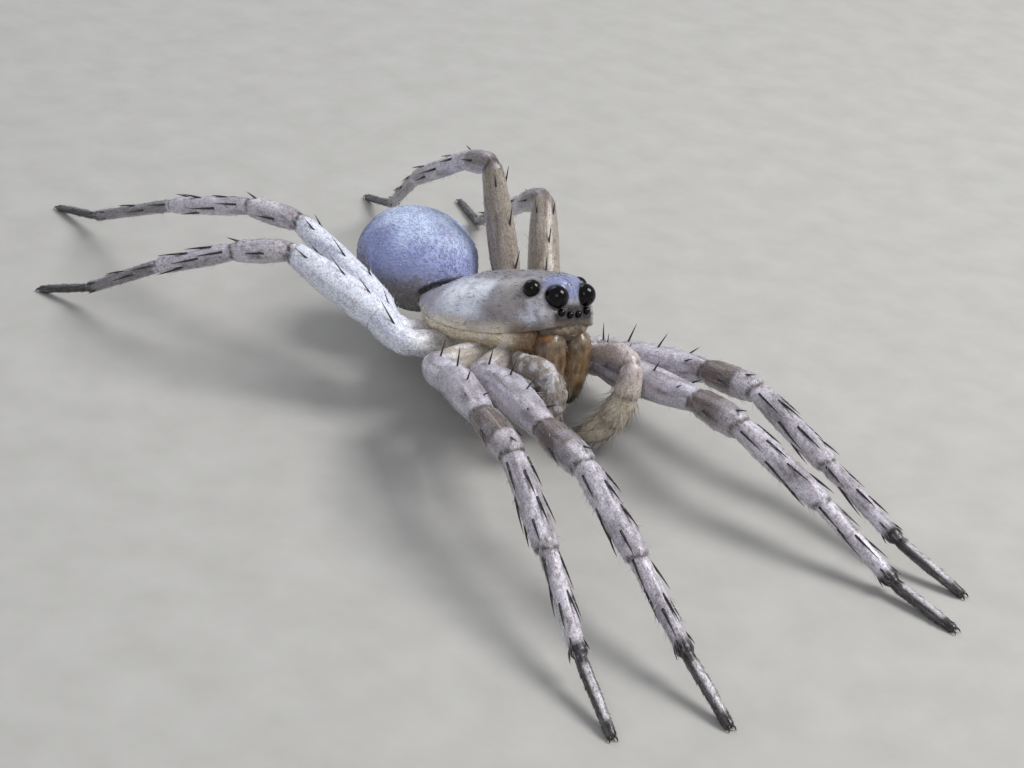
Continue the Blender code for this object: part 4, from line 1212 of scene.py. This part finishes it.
def coat_piece(name, batches, look, part):
    """One mesh of hair from its batches, with colours and the map named OFBake."""
    points, quads, tris, tints, charted = zip(*batches)
    offsets = np.cumsum([0] + [len(batch) for batch in points[:-1]])
    faces = [np.vstack([group + start for group, start in zip(kind, offsets)]) for kind in (quads, tris)]
    points = np.vstack(points)
    piece = mesh_object(name, to_metres(points), faces, [look])
    paint(piece.data, np.clip(np.vstack(tints), 0, 1), points)
    corners = np.zeros(len(piece.data.loops), np.int32)
    piece.data.loops.foreach_get("vertex_index", corners)
    chart = piece.data.uv_layers.new(name="OFBake")
    fill(chart.data, "uv", np.vstack(charted)[corners])
    settle(piece, part)


def add_leg_coats():
    """Short hair along each leg, with finer long hair that stands off its sides."""
    rounds = np.abs(np.sin(-math.pi + TAU * np.arange(LEG_SIDES) / LEG_SIDES))[None, :]
    for number, (name, pose) in enumerate(POSES.items()):
        draw = np.random.default_rng(SEED + number)
        shell = SHELLS[name]
        s, starts = shell.stations[:, None], shell.starts
        toe = step(s, starts[6] - 0.05, starts[6])
        body = step(s, starts[1] - 0.05, starts[1] + 0.06)
        foot = step(s, starts[5] - 0.03, starts[5])
        bald = 1 - 0.85 * bump(s, starts[5] - 0.012, 0.04)
        beyond = step(s, starts[2], starts[3])
        down = body * (1 - 0.8 * foot) * (0.3 + 0.7 * beyond) * bald
        fuzz = body * (0.25 + 0.75 * rounds) * (1 - foot) * (0.35 + 0.65 * beyond)
        size = 0.75 + 0.25 * PAIRS[pose.pair].girth
        coats = ((LEG_DOWN, down), (LEG_FRINGE, fuzz), (FOOT_DOWN, foot * (1 - 0.5 * toe) * bald))
        batches = [tufts(shell, WHOLE, coat, draw, where, size) for coat, where in coats]
        coat_piece("coat_" + name, batches, "hair_leg", "leg")


def add_body_coats(places):
    """Hair of the shield, the soft skin, the abdomen, the jaws and the palps."""
    draw = np.random.default_rng(BODY_COAT_SEED)
    shield = SHELLS["carapace"]
    x, _, z = np.moveaxis(shield.lie, -1, 0)
    clear = 1.0
    for centre, radius, _ in places.values():
        clear = clear * step(np.linalg.norm(shield.lie - centre, axis=-1) / radius, 1.25, 1.6)
    above = step(z, -0.06, 0.0)
    crown = step(x, 0.28, 0.38) * above * (1 - step(x, 0.44, 0.47) * (1 - step(z, 0.10, 0.13)))
    edge = bump(z, -0.055, 0.030) * (1 - step(x, 0.36, 0.44))
    coats = ((SHIELD_DOWN, above * clear * (1 - 0.4 * crown)), (CROWN_DOWN, crown * clear), (EDGE_DOWN, edge))
    batches = [tufts(shield, WHOLE, coat, draw, where) for coat, where in coats]
    coat_piece("coat_carapace", batches, "hair_body", "carapace")
    batches = []
    for i, (name, share) in enumerate(SKIRTS.items()):
        coat = SKIRT_DOWN._replace(tufts=int(SKIRT_DOWN.tufts * share))
        batches.append(tufts(SHELLS[name], (i / len(SKIRTS), 1 / len(SKIRTS)), coat, draw))
    coat_piece("coat_underside", batches, "hair_body", "underside")
    batches = [tufts(SHELLS["abdomen"], WHOLE, coat, draw) for coat in (VELVET, VELVET_LONG)]
    coat_piece("coat_abdomen", batches, "hair_body", "abdomen")
    batches = []
    for i, (_, word) in enumerate(HANDS):
        shell = SHELLS["jaw_" + word]
        t = np.linspace(0, 1, len(shell.points))[:, None]
        bare = plateau(t, 0.12, 0.2, 0.9, 0.95)
        batches.append(tufts(shell, (i / 2, 1 / 2), JAW_DOWN, draw, bare))
        batches.append(tufts(shell, (i / 2, 1 / 2), JAW_FRINGE, draw, bare * step(t, 0.4, 0.7)))
    coat_piece("coat_jaws", batches, "hair_body", "jaw")
    for name, palp in PALPS.items():
        shell = SHELLS[name]
        t = np.linspace(0, 1, len(shell.points))[:, None]
        long_hair = PALP_LONG if palp.side > 0 else PALP_THIN
        batches = [
            tufts(shell, WHOLE, PALP_DOWN, draw),
            tufts(shell, WHOLE, long_hair, draw, step(t, 0.42, 0.62), 0.7 + 0.5 * t),
        ]
        coat_piece("coat_" + name, batches, "hair_leg", "palp")
    batches = [tufts(SHELLS[f"spinneret_{i}"], (i / 4, 1 / 4), REAR_DOWN, draw) for i in range(4)]
    coat_piece("coat_spinnerets", batches, "hair_body", "abdomen")


# Claws: length, radius at the root, radius of the tip and the lowest height of the axis
CLAW_LENGTH = 0.034
CLAW_RADIUS = 0.0058
CLAW_TIP = 0.0006
CLAW_LEVEL = 0.003


def add_claws():
    """Two curved claws at each toe."""
    t = np.linspace(0, 1, 12)[:, None]
    radii = CLAW_RADIUS * (1 - t[:, 0]) ** 0.6 + CLAW_TIP
    names = []
    for name in POSES:
        shell = SHELLS[name]
        along = shell.flow[-2, 0]
        side = unit(np.cross(along, (0, 0, 1.0)))
        up = np.cross(side, along)
        for across in (-1, 1):
            root = shell.toe - along * 0.012 + side * across * 0.008 + up * 0.004
            arch = up * (0.030 * t - 0.042 * t * t)
            path = root + along * CLAW_LENGTH * t + side * across * 0.012 * t + arch
            path[:, 2] = np.maximum(path[:, 2], CLAW_LEVEL)
            points, flow, _, _ = sweep(path, radii, 10)
            points[..., 2] = np.maximum(points[..., 2], FLOOR_CLEARANCE)
            names.append(f"claw_{name}_{across}")
            add_shell(names[-1], points, flow, points * 8, INK, "horn")
    settle(join_shells("claws", names, ["horn"]), "foot")


def add_stage():
    """Plain pale floor."""
    corners = np.array(((-1, -1, 0), (1, -1, 0), (1, 1, 0), (-1, 1, 0))) * FLOOR_HALF
    mesh_object("floor", corners, [np.array([(0, 1, 2, 3)])], ["floor"])


def add_camera():
    """Camera at the photograph's viewing angle."""
    turn = Matrix.Rotation(math.radians(VIEW_TURN), 3, "Z")
    facing = turn @ Matrix.Rotation(math.radians(90 - VIEW_DOWN), 3, "X")
    place = facing.col[2] * VIEW_DISTANCE - turn @ Vector(VIEW_CENTRE) + Vector(SHIFT)
    axes = facing @ Matrix.Rotation(math.radians(VIEW_ROLL), 3, "Z")
    camera = placed("camera", bpy.data.cameras.new("camera"))
    camera.matrix_world = Matrix.Translation(place * CARAPACE) @ axes.to_4x4()
    camera.data.sensor_width = SENSOR_WIDTH
    camera.data.lens = VIEW_LENS
    camera.data.clip_start = 0.001
    camera.data.clip_end = 10
    bpy.context.scene.camera = camera


# Soft square lamps: place, size, power and colour
LAMPS = {
    "key": ((0.045, 0.050, 0.085), 0.048, 0.094, (1.0, 0.99, 0.97)),
    "front": ((0.060, -0.075, 0.075), 0.050, 0.016, (0.96, 0.97, 1.0)),
    "rear": ((-0.070, 0.020, 0.060), 0.045, 0.012, (0.95, 0.97, 1.0)),
}
LAMP_AIM = Vector((0.0, 0.0, 0.002))
SURROUND = (0.90, 0.93, 1.0, 1)
SURROUND_STRENGTH = 0.40


def add_lights():
    """Soft light from high on the photograph's right, two fills, and a pale surround."""
    for name, (place, size, power, colour) in LAMPS.items():
        data = bpy.data.lights.new(name, "AREA")
        data.size = size
        data.energy = power
        data.color = colour
        lamp = placed(name, data)
        lamp.location = place
        lamp.rotation_euler = (LAMP_AIM - Vector(place)).to_track_quat("-Z", "Y").to_euler()
    world = bpy.context.scene.world or bpy.data.worlds.new("surround")
    bpy.context.scene.world = world
    world.use_nodes = True
    back = world.node_tree.nodes["Background"]
    back.inputs["Color"].default_value = SURROUND
    back.inputs["Strength"].default_value = SURROUND_STRENGTH
    bpy.context.scene.view_settings.view_transform = "Standard"


# Build every form
eyes = add_carapace()
add_underside()
add_soft_skin()
add_abdomen()
add_spinnerets()
add_jaws()
add_palps()
for leg, pose in POSES.items():
    add_leg(leg, pose)

# One skin of all flesh, then what stands apart from it
flesh = ["carapace", "underside", "soft_skin", "face", "abdomen", "waist"]
flesh += ["palp_coxa_left", "palp_coxa_right", *POSES, *PALPS]
flesh += [name for name in SHELLS if name.startswith(("spinneret", "jaw"))]
nodes = [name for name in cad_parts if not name.startswith("eye")]
settle(join_shells("skin", flesh, ["cuticle", "shield", "velvet", "amber"]), "leg", *nodes)
settle(join_shells("fangs", ["fang_left", "fang_right"], ["horn"]), "jaw")
add_eyes(eyes)
add_spines()
add_leg_coats()
add_body_coats(eyes)
add_claws()
add_stage()
add_camera()
add_lights()
